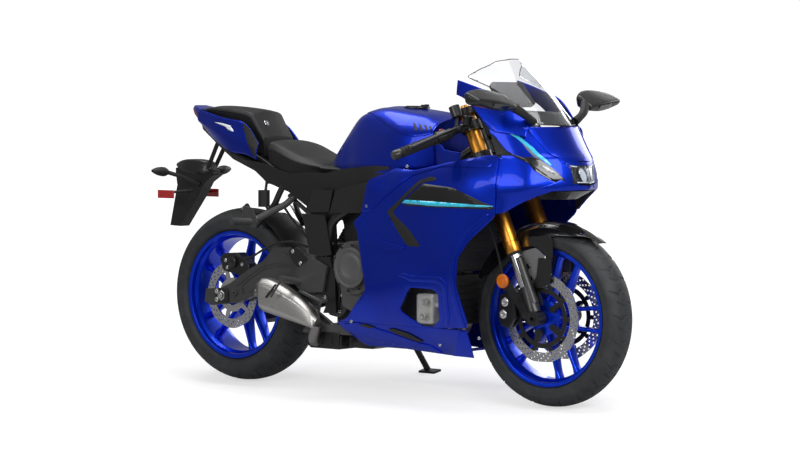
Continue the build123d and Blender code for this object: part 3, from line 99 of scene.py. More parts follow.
# %% [markdown]
# ## The bike's own axes
# The bike leans on its side stand, so up in the room is not up on the bike. It is far easier to draw
# a fairing in the bike's own axes: x forward from the rear axle, y to the rider's left, z up from the
# road, all in millimetres. Two axle positions and the axle's direction are enough to turn such a point
# into a point of the room in metres. Both come from the joints, so the drawing follows the solids.

# %% From bike millimetres to room metres
WHEELBASE = 1395.0
REAR_AXLE = np.array([0.0, 0.0, 315.0])
FRONT_AXLE = np.array([WHEELBASE, 0.0, 300.0])
JOINTS = {joint["name"]: joint for joint in frame["joints"]}
REAR_HUB = np.array(JOINTS["rear_wheel_spin"]["pos_m"])
FRONT_HUB = np.array(JOINTS["front_wheel_spin"]["pos_m"])
LEFT = np.array(JOINTS["rear_wheel_spin"]["axis"])
LEFT = LEFT / np.linalg.norm(LEFT)
BETWEEN = (FRONT_HUB - REAR_HUB) / np.linalg.norm(FRONT_HUB - REAR_HUB)
DROP = math.atan2(REAR_AXLE[2] - FRONT_AXLE[2], WHEELBASE)
SQUARE = np.cross(BETWEEN, LEFT)
AHEAD = math.cos(DROP) * BETWEEN + math.sin(DROP) * SQUARE
UP = math.cos(DROP) * SQUARE - math.sin(DROP) * BETWEEN
AXES = np.array([AHEAD, LEFT, UP])


def place(points):
    """Room point = rear hub + (bike point - rear axle) along the bike's axes, in thousandths."""
    return REAR_HUB + (np.asarray(points, float) - REAR_AXLE) @ AXES / MM


print("lean in degrees:", round(math.degrees(math.acos(UP[2])), 2))

# %% [markdown]
# ## Curves
# Most of the bodywork is given by a few measured points. Two helpers turn them into curves. `spline`
# goes through every point with the least bending, as a batten would. `rounded` keeps straight runs
# straight and puts a small arc at each corner, as a bent tube or a moulded edge has.

# %% Splines and rounded corners
def spline(knots, values, at):
    """Natural cubic through (knot, value): its second derivative is continuous, and 0 at both ends."""
    knots = np.asarray(knots, float)
    values = np.asarray(values, float)
    at = np.asarray(at, float)
    count = len(knots)
    flat = values.reshape(count, -1)
    gap = np.diff(knots)
    system = np.eye(count)
    right = np.zeros_like(flat)
    inner = np.arange(1, count - 1)
    system[inner, inner - 1] = gap[:-1]
    system[inner, inner] = 2 * (gap[:-1] + gap[1:])
    system[inner, inner + 1] = gap[1:]
    slope = np.diff(flat, axis=0) / gap[:, None]
    right[inner] = 6 * (slope[1:] - slope[:-1])
    bend = np.linalg.solve(system, right)
    k = np.clip(np.searchsorted(knots, at, side="right") - 1, 0, count - 2)
    after = (at - knots[k])[:, None]
    h = gap[k][:, None]
    before = h - after
    found = (bend[k] * before**3 + bend[k + 1] * after**3) / (6 * h)
    found += (flat[k] / h - bend[k] * h / 6) * before
    found += (flat[k + 1] / h - bend[k + 1] * h / 6) * after
    return found.reshape((len(at),) + values.shape[1:])


def through(knots, count):
    """The spline through evenly numbered knots, at so many even places."""
    knots = np.asarray(knots, float)
    return spline(np.arange(len(knots)), knots, np.linspace(0, len(knots) - 1, count))


def eased(knots, count, share):
    """share * smooth curve + (1 - share) * straight line through the knots, so that a crease stays."""
    knots = np.asarray(knots, float)
    number = np.arange(len(knots))
    at = np.linspace(0, len(knots) - 1, count)
    straight = np.stack([np.interp(at, number, knots[:, k]) for k in (0, 1)], -1)
    return share * spline(number, knots, at) + (1 - share) * straight


CORNER_SHARE = 0.48  # an arc takes at most this share of the run beside it


def rounded(points, radius, steps=5):
    """Each corner P becomes the arc (1-t)^2 A + 2t(1-t) P + t^2 B, with A and B a radius away from it."""
    points = np.asarray(points, float)
    back = np.roll(points, 1, 0) - points
    ahead = np.roll(points, -1, 0) - points
    back_length = np.linalg.norm(back, axis=1, keepdims=True)
    ahead_length = np.linalg.norm(ahead, axis=1, keepdims=True)
    reach = np.minimum(radius, CORNER_SHARE * np.minimum(back_length, ahead_length))
    start = points + back / np.maximum(back_length, TINY) * reach
    stop = points + ahead / np.maximum(ahead_length, TINY) * reach
    t = np.linspace(0, 1, steps)[None, :, None]
    arcs = (1 - t) ** 2 * start[:, None] + 2 * t * (1 - t) * points[:, None] + t**2 * stop[:, None]
    return arcs.reshape(-1, points.shape[1])


def run_along(points):
    """How far along the line each point is."""
    steps = np.linalg.norm(np.diff(points, axis=0), axis=1)
    return np.concatenate([[0], np.cumsum(steps)])


def at_runs(points, run, at):
    """The line's points at given distances along it."""
    return np.stack([np.interp(at, run, points[:, k]) for k in range(points.shape[1])], -1)


def spaced(points, step):
    """The same closed line with points about a step apart, measured along it."""
    points = np.vstack([points, points[:1]])
    apart = np.linalg.norm(np.diff(points, axis=0), axis=1) > 1e-6
    points = points[np.concatenate([[True], apart])]
    run = run_along(points)
    count = max(3, int(run[-1] / step) + 1)
    return at_runs(points, run, np.linspace(0, run[-1], count + 1))[:-1]


print("an arc has", len(rounded([(0, 0), (10, 0), (10, 10)], 3)) // 3, "points")

# %% [markdown]
# ## From arrays to a piece
# A surface here is a grid of points: rows in one direction, columns in the other. `grid_faces` joins
# neighbours into quads, round the back too where the surface closes on itself. `piece` makes the mesh
# in one go, gives it its finish, and lets it ride on the body that carries it.

# %% Faces and pieces
def grid_faces(rows, cols, wrap_rows=False, wrap_cols=False):
    """Quads of a grid whose point numbers run along its rows."""
    number = np.arange(rows * cols).reshape(rows, cols)
    if wrap_rows:
        number = np.vstack([number, number[:1]])
    if wrap_cols:
        number = np.hstack([number, number[:, :1]])
    quads = [number[:-1, :-1], number[1:, :-1], number[1:, 1:], number[:-1, 1:]]
    return np.stack(quads, -1).reshape(-1, 4)


def turned_out(points, faces, inside):
    """The faces, turned round if on the whole their normals point towards the inside point."""
    a, b, c = points[faces[:, 0]], points[faces[:, 1]], points[faces[:, 2]]
    normal = np.cross(b - a, c - a)
    facing = ((a + b + c) / 3 - np.asarray(inside, float)) * normal
    return faces if facing.sum() > 0 else faces[:, ::-1]


def piece(name, points, faces, finish, body="chassis", stands_for=(), angle=32):
    """Mesh of bike points and faces, placed, finished and riding on its body."""
    points = np.asarray(points, float).reshape(-1, 3)
    mesh = bpy.data.meshes.new(name)
    rows = faces.tolist() if isinstance(faces, np.ndarray) else list(faces)
    mesh.from_pydata(place(points).tolist(), [], rows)
    mesh.shade_smooth()
    mesh.set_sharp_from_angle(angle=math.radians(angle))
    mesh.materials.append(finish.material)
    obj = bpy.data.objects.new(name, mesh)
    bpy.context.scene.collection.objects.link(obj)
    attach(obj, body)
    if stands_for:
        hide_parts(*([stands_for] if isinstance(stands_for, str) else stands_for))
    print(f"{name}: {len(mesh.vertices)} points, {len(mesh.polygons)} faces")
    return obj


def joined(*parts):
    """Several (points, faces) as one, with the point numbers of each part moved past those before it."""
    points, faces, start = [], [], 0
    for part_points, part_faces in parts:
        part_points = np.asarray(part_points, float).reshape(-1, 3)
        points.append(part_points)
        faces += [[int(v) + start for v in face] for face in part_faces]
        start += len(part_points)
    return np.vstack(points), faces


def flipped(part):
    """The same part on the other side: y changes sign, and so does the way round each face."""
    points, faces = part
    points = np.asarray(points, float).reshape(-1, 3) * [1, -1, 1]
    return points, [list(face)[::-1] for face in faces]


WALL_ANGLE = 50  # degrees: only a sheet's rim is sharper


def wall(obj, thickness, bevel):
    """Gives a sheet its wall, inwards from the surface, and breaks the sharp edge of the moulding."""
    solid = obj.modifiers.new("wall", "SOLIDIFY")
    solid.thickness = thickness / MM
    solid.offset = -1
    if bevel:
        soften(obj, bevel, WALL_ANGLE)
    return obj


def soften(obj, width, angle=40):
    """Rounds every edge sharper than the angle, as a cast, moulded or painted part has them."""
    edge = obj.modifiers.new("edges", "BEVEL")
    edge.width = width / MM
    edge.segments = 2
    edge.limit_method = "ANGLE"
    edge.angle_limit = math.radians(angle)
    return obj


def sheet(grid, inside):
    """Points and quads of an open grid, with its faces turned away from the inside point."""
    points = np.asarray(grid, float).reshape(-1, 3)
    return points, turned_out(points, grid_faces(*grid.shape[:2]), inside).tolist()


def panel(name, part, finish, thickness, bevel, stands_for=(), angle=40):
    """A sheet as a piece of the chassis, with its wall."""
    wall(piece(name, *part, finish, stands_for=stands_for, angle=angle), thickness, bevel)


def pair(name, part, finish, stands=((), ()), angle=40, thickness=0.0, bevel=0.0):
    """A part of the right side and its mirror image on the left; a sheet gets its wall too."""
    for (_, word), stands_for, shown in zip(SIDES, stands, (part, flipped(part))):
        obj = piece(f"{name}_{word}", *shown, finish, stands_for=stands_for, angle=angle)
        if thickness:
            wall(obj, thickness, bevel)


def ruled(first, second, count):
    """Rows of points (1-t) first + t second, straight from one line to the other."""
    return np.stack([first * (1 - t) + second * t for t in np.linspace(0, 1, count)], 1)


print("a 3 by 4 grid has", len(grid_faces(3, 4)), "quads")

# %% [markdown]
# ## Tubes, turned parts and flat panels
# A tube is a circle carried along a path. A turned part is a profile carried round an axis. A panel is a
# region of a curved surface inside an outline: it is cut flat into triangles, like cloth on a table,
# and then lifted on to the surface. These three make nearly everything on the bike.

# %% Tube and turned part
def across(direction):
    """Two unit vectors square to each direction and to each other."""
    direction = direction / np.linalg.norm(direction, axis=-1, keepdims=True)
    mean = np.abs(direction).reshape(-1, 3).mean(0)
    helper = np.eye(3)[int(np.argmin(mean))]
    first = np.cross(direction, helper)
    first = first / np.linalg.norm(first, axis=-1, keepdims=True)
    return first, np.cross(direction, first)


def closed_up(points, quads, caps=()):
    """Faces of a closed shape, turned so that the sum of P0 . (P1 x P2) over its triangles is positive."""
    fans = [quads[:, [0, 1, 2]], quads[:, [0, 2, 3]]]
    for cap in caps:
        cap = np.asarray(cap)
        fans.append(np.stack([np.full(len(cap) - 2, cap[0]), cap[1:-1], cap[2:]], -1))
    corner = (points - points.mean(0))[np.vstack(fans)]
    volume = (corner[:, 0] * np.cross(corner[:, 1], corner[:, 2])).sum()
    faces = quads.tolist() + [list(map(int, cap)) for cap in caps]
    return points, faces if volume > 0 else [face[::-1] for face in faces]


def circle_turns(count):
    """Even angles of one whole turn."""
    return np.linspace(0, 2 * math.pi, count, endpoint=False)


def around(centre, y, r, a):
    """Points (x + r cos a, y, z + r sin a) about a centre on an axle."""
    spots = centre[0] + r * np.cos(a), centre[1] + y, centre[2] + r * np.sin(a)
    return np.stack(np.broadcast_arrays(*spots), -1)


def shell(rings):
    """A closed body through closed rings of points, with a face over the first and the last ring."""
    rings = np.asarray(rings, float)
    rows, cols = rings.shape[:2]
    number = np.arange(rows * cols).reshape(rows, cols)
    caps = [number[0], number[-1][::-1]]
    return closed_up(rings.reshape(-1, 3), grid_faces(rows, cols, wrap_cols=True), caps)


def tube(path, radius, sides=20):
    """Rings path(s) + r(s) (cos a, sin a) on the two axes square to the path."""
    path = np.asarray(path, float)
    first, second = across(np.gradient(path, axis=0))
    a = circle_turns(sides)[None, :, None]
    r = np.broadcast_to(radius, len(path)).reshape(-1, 1, 1)
    return shell(path[:, None] + r * (np.cos(a) * first[:, None] + np.sin(a) * second[:, None]))


def turned(start, end, profile, sides=48):
    """Points start + s u + r (cos a, sin a): the profile's (s, r), in millimetres, goes round the axis."""
    start, profile = np.asarray(start, float), np.asarray(profile, float)
    axis = (np.asarray(end, float) - start) / np.linalg.norm(np.asarray(end, float) - start)
    first, second = across(axis)
    a = circle_turns(sides)[None, :, None]
    round_ring = np.cos(a) * first + np.sin(a) * second
    return shell(start + profile[:, 0, None, None] * axis + profile[:, 1, None, None] * round_ring)


def wheel_ring(profile, centre, sides=120):
    """A closed profile of (y, radius) carried right round an axle at that centre."""
    y, r = np.asarray(profile, float).T[:, :, None]
    points = around(centre, y, r, circle_turns(sides)).reshape(-1, 3)
    return closed_up(points, grid_faces(len(profile), sides, wrap_rows=True, wrap_cols=True))


# %% Panel
def inside_line(points, line):
    """True where a ray from the point crosses the closed line an odd number of times."""
    x, z = points[:, 0, None], points[:, 1, None]
    a, b = line[None], np.roll(line, -1, 0)[None]
    spans = (a[..., 1] > z) != (b[..., 1] > z)
    rise = np.where(np.abs(b[..., 1] - a[..., 1]) < 1e-12, 1e-12, b[..., 1] - a[..., 1])
    crossing = a[..., 0] + (z - a[..., 1]) / rise * (b[..., 0] - a[..., 0])
    return (spans & (x < crossing)).sum(1) % 2 == 1


ROW_RISE = 0.87  # rows of the flat grid lie this share of a step apart, so its triangles are even
RIM_GAP = 0.55  # a grid point nearer than this share of a step to a line is left out
MERGE = 1e-7


def in_region(points, lines):
    """True inside the first line and outside all the others."""
    found = inside_line(points, lines[0])
    for hole in lines[1:]:
        found &= ~inside_line(points, hole)
    return found


def cut_flat(outline, holes=(), step=12.0):
    """Triangles of a flat region: its lines, a grid of points within, and Delaunay's rule to join them."""
    lines = [spaced(line, step) for line in (outline, *holes)]
    low, high = lines[0].min(0), lines[0].max(0)
    xs = np.arange(low[0] + step / 2, high[0], step)
    zs = np.arange(low[1] + step / 2, high[1], step * ROW_RISE)
    grid = np.stack(np.meshgrid(xs, zs), -1)
    grid[1::2, :, 0] += step / 2
    grid = grid.reshape(-1, 2)
    grid = grid[in_region(grid, lines)]
    rim = np.vstack(lines)
    near = ((grid[:, None] - rim[None]) ** 2).sum(-1).min(1) if len(grid) else np.empty(0)
    points = np.vstack([rim, grid[near > (RIM_GAP * step) ** 2]])
    edges, start = [], 0
    for line in lines:
        number = np.arange(len(line)) + start
        edges += np.stack([number, np.roll(number, -1)], -1).tolist()
        start += len(line)
    found = geometry.delaunay_2d_cdt(points.tolist(), edges, [], 0, MERGE)
    flat, faces = np.array([tuple(v) for v in found[0]]), np.array(found[2])
    return flat, faces[in_region(flat[faces].mean(1), lines)]


# %% Dense surfaces and their regions
def smooth_rows(rows, along, across_steps):
    """Dense grid from a few rows of points: a spline along each row, then one from row to row."""
    fine = through(np.asarray(rows, float).transpose(1, 0, 2), across_steps).transpose(1, 0, 2)
    return through(fine, along)


def looked_up(dense, u, v):
    """Point of a dense grid at shares u and v of its two directions, straight between its nearest four."""
    u = np.clip(u, 0, 1) * (dense.shape[0] - 1)
    v = np.clip(v, 0, 1) * (dense.shape[1] - 1)
    i = np.minimum(u.astype(int), dense.shape[0] - 2)
    j = np.minimum(v.astype(int), dense.shape[1] - 2)
    s, t = (u - i)[:, None], (v - j)[:, None]
    near = dense[i, j] * (1 - t) + dense[i, j + 1] * t
    far = dense[i + 1, j] * (1 - t) + dense[i + 1, j + 1] * t
    return near * (1 - s) + far * s


def outward(grid, inside):
    """Unit normals of a dense grid, square to both of its directions, pointing away from the inside."""
    normal = np.cross(np.gradient(grid, axis=1), np.gradient(grid, axis=0))
    normal = normal / np.maximum(np.linalg.norm(normal, axis=-1, keepdims=True), TINY)
    return normal if (normal * (grid - np.asarray(inside, float))).sum() > 0 else -normal


def lifted(grid, u, v, inside, lift):
    """The surface's points at shares u and v, moved out along its normal by the lift."""
    return looked_up(grid, u, v) + lift * looked_up(outward(grid, inside), u, v)


def region(grid, outline, inside, lift=0.0, radius=0.01, step=0.03, stretch=1.0):
    """The part of a surface inside a line of shares (u, v); v counts more where it is the longer way."""
    flat, faces = cut_flat(rounded(np.array(outline) * [1.0, stretch], radius), step=step)
    points = lifted(grid, flat[:, 0], flat[:, 1] / stretch, inside, lift)
    return points, turned_out(points, faces, inside).tolist()


print("a square metre in 100 mm steps has",
      len(cut_flat([(0, 0), (1000, 0), (1000, 1000), (0, 1000)], step=100)[1]), "triangles")

# %% [markdown]
# ## Finishes as small sums
# A finish is one Principled surface with a few nodes that vary it: flakes in paint, grain in plastic,
# brushing on steel. Wiring nodes by hand hides the idea, so a socket is wrapped in a small class that
# understands + - * and /. `1 - mask` then reads as it would on paper. Numbers that are the same all
# over are set straight on the surface.

# %% Shader sums
OBJECT_POINT = 3  # the output of Texture Coordinate that gives a place on the object


def add_node(tree, kind, settings=(), **inputs):
    """A node's outputs: its settings first, then values or links for its sockets, by name or by _number."""
    node = tree.nodes.new("ShaderNode" + kind)
    for key, value in dict(settings).items():
        setattr(node, key, value)
    for key, value in inputs.items():
        slot = node.inputs[int(key[1:])] if key[0] == "_" else node.inputs[key.replace("_", " ")]
        value = value.socket if isinstance(value, Value) else value
        if isinstance(value, bpy.types.NodeSocket):
            tree.links.new(value, slot)
        else:
            slot.default_value = value
    return node.outputs


class Value:
    """A number that varies over a surface: each operator adds one Math node."""

    def __init__(self, tree, socket):
        self.tree = tree
        self.socket = socket

    def math(self, operation, *others):
        values = {f"_{k}": value for k, value in enumerate((self, *others))}
        return Value(self.tree, add_node(self.tree, "Math", {"operation": operation}, **values)[0])

    def __add__(self, other):
        return self.math("ADD", other)

    def __mul__(self, other):
        return self.math("MULTIPLY", other)

    def __sub__(self, other):
        return self.math("SUBTRACT", other)

    def __rsub__(self, other):
        return self.math("MULTIPLY", -1.0).math("ADD", other)

    def __truediv__(self, other):
        return self.math("DIVIDE", other)

    __radd__ = __add__
    __rmul__ = __mul__

    def between(self, low, high):
        """0 at low and below, 1 at high and above, straight between."""
        span = (self - low) / (high - low)
        return span.math("MAXIMUM", 0.0).math("MINIMUM", 1.0)


class Finish:
    """One finish of the bike: a Principled surface, the slot of the record it belongs to, and its nodes."""

    def __init__(self, name, slot, **constants):
        self.slot = slot
        self.material = bpy.data.materials.new(name)
        self.material.use_nodes = True
        self.tree = self.material.node_tree
        self.surface = next(node for node in self.tree.nodes if node.type == "BSDF_PRINCIPLED")
        for key, value in constants.items():
            self.surface.inputs[key.replace("_", " ")].default_value = value

    def node(self, kind, settings=(), output=0, **inputs):
        """Any other node, as the value that one of its outputs gives."""
        return Value(self.tree, add_node(self.tree, kind, settings, **inputs)[output])

    def place(self, scale=(1, 1, 1)):
        """Where a point of the piece is, in metres."""
        return self.node("Mapping", Vector=self.node("TexCoord", output=OBJECT_POINT), Scale=scale)

    def noise(self, scale, detail=2.0, roughness=0.5, stretch=(1, 1, 1)):
        where = self.place(stretch)
        return self.node("TexNoise", Vector=where, Scale=scale, Detail=detail, Roughness=roughness)

    def cells(self, scale, feature="F1"):
        return self.node("TexVoronoi", {"feature": feature}, Vector=self.place(), Scale=scale)

    def mixed(self, share, first, second):
        """A colour between two, by a share."""
        first, second = ((*c, 1.0) for c in (first, second))
        return self.node("Mix", {"data_type": "RGBA"}, output=2, _0=share, _6=first, _7=second)

    def colour(self, pattern, low, high, first, second):
        """Base Color from the first colour where a pattern is low to the second where it is high."""
        return self.feed("Base Color", self.mixed(pattern.between(low, high), first, second))

    def feed(self, socket, value):
        self.tree.links.new(value.socket, self.surface.inputs[socket])
        return self

    def relief(self, height, depth):
        """Bumps whose height is a value times the depth in metres."""
        return self.feed("Normal", self.node("Bump", Height=height, Distance=depth))


print("shader sums ready")

# %% [markdown]
# ## Paint, plastic, metal and rubber
# The blue is a candy-like metallic: a dark blue base with fine flakes that catch the light at slightly
# different angles, under clear lacquer. The coat gives the sharp highlights of the panels, and the base
# under it gives their broad glow. The same blue goes on the cast wheels with a little more texture.

# %% Blue finishes
def metallic_blue(name, slot, dark, light, grain):
    """Blue flakes under lacquer: colour and tilt change from flake to flake and, slowly, over a panel."""
    paint = Finish(name, slot, Coat_Weight=0.55, Coat_Roughness=0.03, Coat_IOR=1.32, IOR=1.3, Metallic=0.85)
    flake = paint.cells(2600.0)
    paint.colour(flake * 0.5 + paint.noise(5.0, 2.0) * 0.5, 0.25, 0.75, dark, light)
    paint.feed("Roughness", paint.noise(60.0) * 0.06 + 0.29)
    return paint.relief(flake * 0.4 + paint.noise(420.0, 1.0) * 0.6, grain)


BLUE = metallic_blue("Panel_blue", "blue_paint", (0.0002, 0.012, 0.32), (0.0008, 0.03, 0.52), 0.00002)
BLUE_CAST = metallic_blue("Cast_blue", "blue_alloy", (0.001, 0.03, 0.6), (0.004, 0.06, 0.8), 0.00008)
print("blue finishes:", BLUE.material.name, BLUE_CAST.material.name)


# %% Black mouldings and paints
WORN_SPREAD = 0.35  # how much paler the black gets where it is worn


def black(name, slot, shade, roughness, grain_scale, grain, coat=0.0):
    """Moulded or painted black: a grain of small cells, and wear that makes it a little paler in places."""
    finish = Finish(name, slot, Coat_Weight=coat, Coat_Roughness=0.06, IOR=1.4)
    worn = finish.noise(9.0, 4.0, 0.6)
    finish.colour(worn, 0.35, 0.75, (shade,) * 3, (shade * (1 + WORN_SPREAD),) * 3)
    finish.feed("Roughness", finish.noise(35.0, 3.0) * 0.14 + (roughness - 0.07))
    return finish.relief(finish.cells(grain_scale), grain)


GLOSS_BLACK = black("Gloss_black", "black_gloss", 0.006, 0.16, 900.0, 0.000008, coat=0.8)
MATT_BLACK = black("Grained_black", "black_plastic", 0.01, 0.52, 1100.0, 0.00006)
SATIN_BLACK = black("Satin_black", "black_metal", 0.009, 0.36, 700.0, 0.00003, coat=0.25)
DARK_GREY = black("Dark_grey_paint", "grey_metal", 0.042, 0.42, 600.0, 0.00005, coat=0.15)
PALE_GREY = black("Bracket_grey", "grey_metal", 0.15, 0.42, 600.0, 0.00005, coat=0.15)
ENGINE_GREY = black("Cast_cover_grey", "engine_grey", 0.075, 0.44, 420.0, 0.00009, coat=0.1)
RUBBER = black("Soft_rubber", "rubber", 0.012, 0.72, 800.0, 0.00005)
print("black finishes ready")


# %% Metals
def metal(name, slot, dark, light, roughness, stretch, scale=60.0, grain=0.00002, spread=0.18):
    """Bare or anodised metal: fine lines along one direction in colour, roughness and relief."""
    finish = Finish(name, slot, Metallic=1.0)
    line = finish.noise(scale, 4.0, 0.6, stretch)
    finish.colour(line, 0.3, 0.7, dark, light)
    finish.feed("Roughness", line * spread + (roughness - spread / 2))
    return finish.relief(line, grain)


EVEN = (1, 1, 1)
GOLD = metal("Gold_anodised", "gold", (0.62, 0.26, 0.034), (0.68, 0.3, 0.046), 0.3, (2, 2, 1.0),
             40.0, 0.000002, 0.05)
BRIGHT_STEEL = metal("Ground_steel", "steel", (0.5, 0.5, 0.51), (0.7, 0.7, 0.7), 0.24, (1, 14, 14))
CHROME = metal("Hard_chrome", "steel", (0.7, 0.7, 0.72), (0.82, 0.82, 0.84), 0.09, EVEN, 30.0, 0.000004)
CHAIN_STEEL = metal("Oiled_steel", "chain_steel", (0.22, 0.19, 0.14), (0.36, 0.32, 0.25), 0.38, EVEN,
                    160.0, 0.00004)
BRUSHED = metal("Satin_steel", "steel", (0.34, 0.335, 0.32), (0.5, 0.49, 0.47), 0.4, (0.4, 10, 10))
BRUSHED_DARK = metal("Shaded_steel", "steel", (0.16, 0.155, 0.15), (0.27, 0.26, 0.25), 0.32, (0.4, 10, 10))
BLUED = metal("Heated_steel", "steel", (0.26, 0.22, 0.19), (0.46, 0.43, 0.4), 0.36, EVEN, 25.0, 0.00003)
SILVER = Finish("Silver_paint", "steel", Metallic=0.35, Coat_Weight=0.2, Coat_Roughness=0.1)
SILVER.colour(SILVER.noise(20.0), 0.3, 0.7, (0.42, 0.42, 0.41), (0.5, 0.5, 0.48))
SILVER.feed("Roughness", SILVER.noise(40.0) * 0.1 + 0.36)
print("metals ready")


# %% Lenses, screen and mirror glass
def lens(name, slot, colour, facet):
    """Coloured moulded lens: prisms a few millimetres wide under a polished face."""
    finish = Finish(name, slot, Roughness=0.08, IOR=1.49, Coat_Weight=1.0, Coat_Roughness=0.02)
    prism = finish.cells(facet)
    finish.colour(prism, 0.2, 0.9, colour, tuple(0.45 * c for c in colour))
    return finish.relief(prism, 0.0006)


def clear(name, slot, tint, roughness, ior, ripple, depth):
    """A clear sheet, tinted a little, with ripples as wide as 1 / ripple metres."""
    finish = Finish(name, slot, Base_Color=(*tint, 1), Roughness=roughness, IOR=ior,
                    Transmission_Weight=1.0)
    return finish.relief(finish.noise(ripple), depth)


def pane(name, facet, dark, light, **constants):
    """An opaque pane in a lamp, darker and lighter from facet to facet under a polished face."""
    finish = Finish(name, "lamp", IOR=1.49, Coat_Weight=1.0, **constants)
    return finish.colour(finish.cells(facet), 0.2, 0.8, dark, light)


def film(name, dark, light, roughness=0.4):
    """A glossy coloured film on the paint, with a cloud so faint that it only breaks the evenness."""
    finish = Finish(name, "blue_paint", Coat_Weight=1.0, Coat_Roughness=0.04, Roughness=roughness)
    return finish.colour(finish.noise(8.0), 0.3, 0.7, dark, light)


AMBER = lens("Amber_lens", "amber_lens", (0.95, 0.22, 0.01), 260.0)
RED = lens("Red_lens", "red_lens", (0.62, 0.006, 0.008), 260.0)
RED_MOULDED = lens("Red_moulded", "black_plastic", (0.6, 0.012, 0.01), 400.0)
SCREEN = clear("Clear_screen", "screen", (0.8, 0.81, 0.83), 0.015, 1.28, 12.0, 0.00005)
CLEAR_PANE = clear("Clear_pane", "lamp", (0.75, 0.78, 0.82), 0.02, 1.3, 25.0, 0.00008)
PALE_PANE = pane("Pale_pane", 140.0, (0.1, 0.11, 0.13), (0.42, 0.44, 0.48), Roughness=0.12,
                 Coat_Roughness=0.03)
LED_WHITE = pane("Lamp_white", 300.0, (0.55, 0.58, 0.63), (0.82, 0.84, 0.88), Roughness=0.1,
                 Coat_Roughness=0.02)
MIRROR = Finish("Mirror_glass", "steel", Base_Color=(0.82, 0.85, 0.88, 1), Metallic=1.0)
MIRROR.feed("Roughness", MIRROR.noise(40.0) * 0.03 + 0.02)
CYAN = film("Cyan_film", (0.01, 0.5, 0.72), (0.02, 0.58, 0.8), 0.35)
GREY_FILM = film("Grey_film", (0.1, 0.12, 0.17), (0.13, 0.15, 0.2))
WHITE_FILM = film("White_film", (0.72, 0.74, 0.78), (0.8, 0.82, 0.85))
BLACK_FILM = black("Black_film", "blue_paint", 0.002, 0.42, 900.0, 0.000006, coat=0.12)
print("lenses and films ready")

# %% Tyre, seat cover and radiator core
TYRE = Finish("Tyre_rubber", "tyre", IOR=1.45, Specular_IOR_Level=0.35)
scuffed = TYRE.noise(22.0, 5.0, 0.65)
TYRE.colour(scuffed, 0.3, 0.75, (0.023, 0.0243, 0.0257), (0.0459, 0.0473, 0.05))
TYRE.feed("Roughness", scuffed * 0.2 + 0.48)
TYRE.relief(TYRE.noise(500.0, 2.0), 0.00006)
SEAT = Finish("Seat_cover", "seat", IOR=1.38)
creased = SEAT.noise(14.0, 3.0)
grained = SEAT.cells(620.0, "SMOOTH_F1")
SEAT.colour(creased, 0.3, 0.7, (0.006, 0.006, 0.0065), (0.012, 0.012, 0.0125))
SEAT.feed("Roughness", grained * 0.25 + 0.42)
SEAT.relief(grained * 0.7 + creased * 0.3, 0.00018)
CORE = Finish("Finned_core", "radiator", Metallic=0.7)
# The core's colour is the fins' own grey with painted shade: the dark bands stand for the shade in the gaps
# between the fins. The same bands also give the fins' relief.
fin_relief_and_gap_shade = CORE.node("TexWave", {"bands_direction": "Y"}, output=1, Vector=CORE.place(), Scale=260.0)
CORE.feed("Base Color", CORE.mixed(fin_relief_and_gap_shade, (0.0162, 0.0162, 0.0175), (0.1215, 0.1215, 0.1283)))
CORE.feed("Roughness", CORE.noise(50.0) * 0.1 + 0.45)
CORE.relief(fin_relief_and_gap_shade, 0.0006)
print("tyre, seat and core ready")

# %% [markdown]
# ## Tyres
# A tyre is one section carried round the axle. The section is the solid's own: crown, shoulder,
# sidewall, bead. Its corners are smoothed by a spline, and the tread is cut into it: a point sinks by
# the groove's depth where a repeating pattern of slanted slots says so. The pattern repeats a whole
# number of times, so that it meets itself.

# %% Tread and sidewall
BEAD_R = 221.0
RIM_R = 232.0


def tyre_section(radius, width, crown_drop, rim_width):
    """Half section as (y, radius) from crown to bead: shares of width, crown and wall height."""
    half = width / 2
    fall = radius - BEAD_R
    seat = rim_width / 2 - 6.8
    crown = ((0.0, 0.0), (0.3, 0.06), (0.62, 0.3), (0.88, 0.7), (1.0, 1.1))
    outer = [(share * half, radius - sink * crown_drop) for share, sink in crown]
    outer += [(0.985 * half, radius - 0.55 * fall), (0.93 * half, radius - 0.78 * fall), (seat, RIM_R + 1)]
    return np.array(outer), seat


# where a slot starts in the repeat, its slant, the shares of the half width it spans, its half width
SLOTS = ((0.06, 0.42, 0.16, 0.66, 0.05), (0.46, 0.36, 0.34, 0.9, 0.046), (0.74, -0.3, 0.1, 0.4, 0.04))
SLOT_EDGE = 0.014
SLOT_END = 0.03


def grooved(turn, share, repeats):
    """1 in a groove and 0 beside it: slots whose centre line slants with the share of the half width."""
    phase = (turn * repeats / (2 * math.pi)) % 1.0
    depth = np.zeros_like(turn)
    for start, slant, low, high, width in SLOTS:
        centre = start + slant * share**1.5
        off = np.abs((phase - centre + 0.5) % 1.0 - 0.5)
        inside = np.clip((width - off) / SLOT_EDGE, 0, 1)
        reach = np.clip((share - low) / SLOT_END, 0, 1) * np.clip((high - share) / SLOT_END, 0, 1)
        depth = np.maximum(depth, inside * reach)
    return depth


TREAD_TURNS, SECTION_STEPS = 880, 45
GROOVE_DEPTH, BAND_HEIGHT, BAND_ABOVE_BEAD, BAND_SPREAD = 3.2, 1.1, 26, 2.2
SMOOTH_SHARE = 0.75


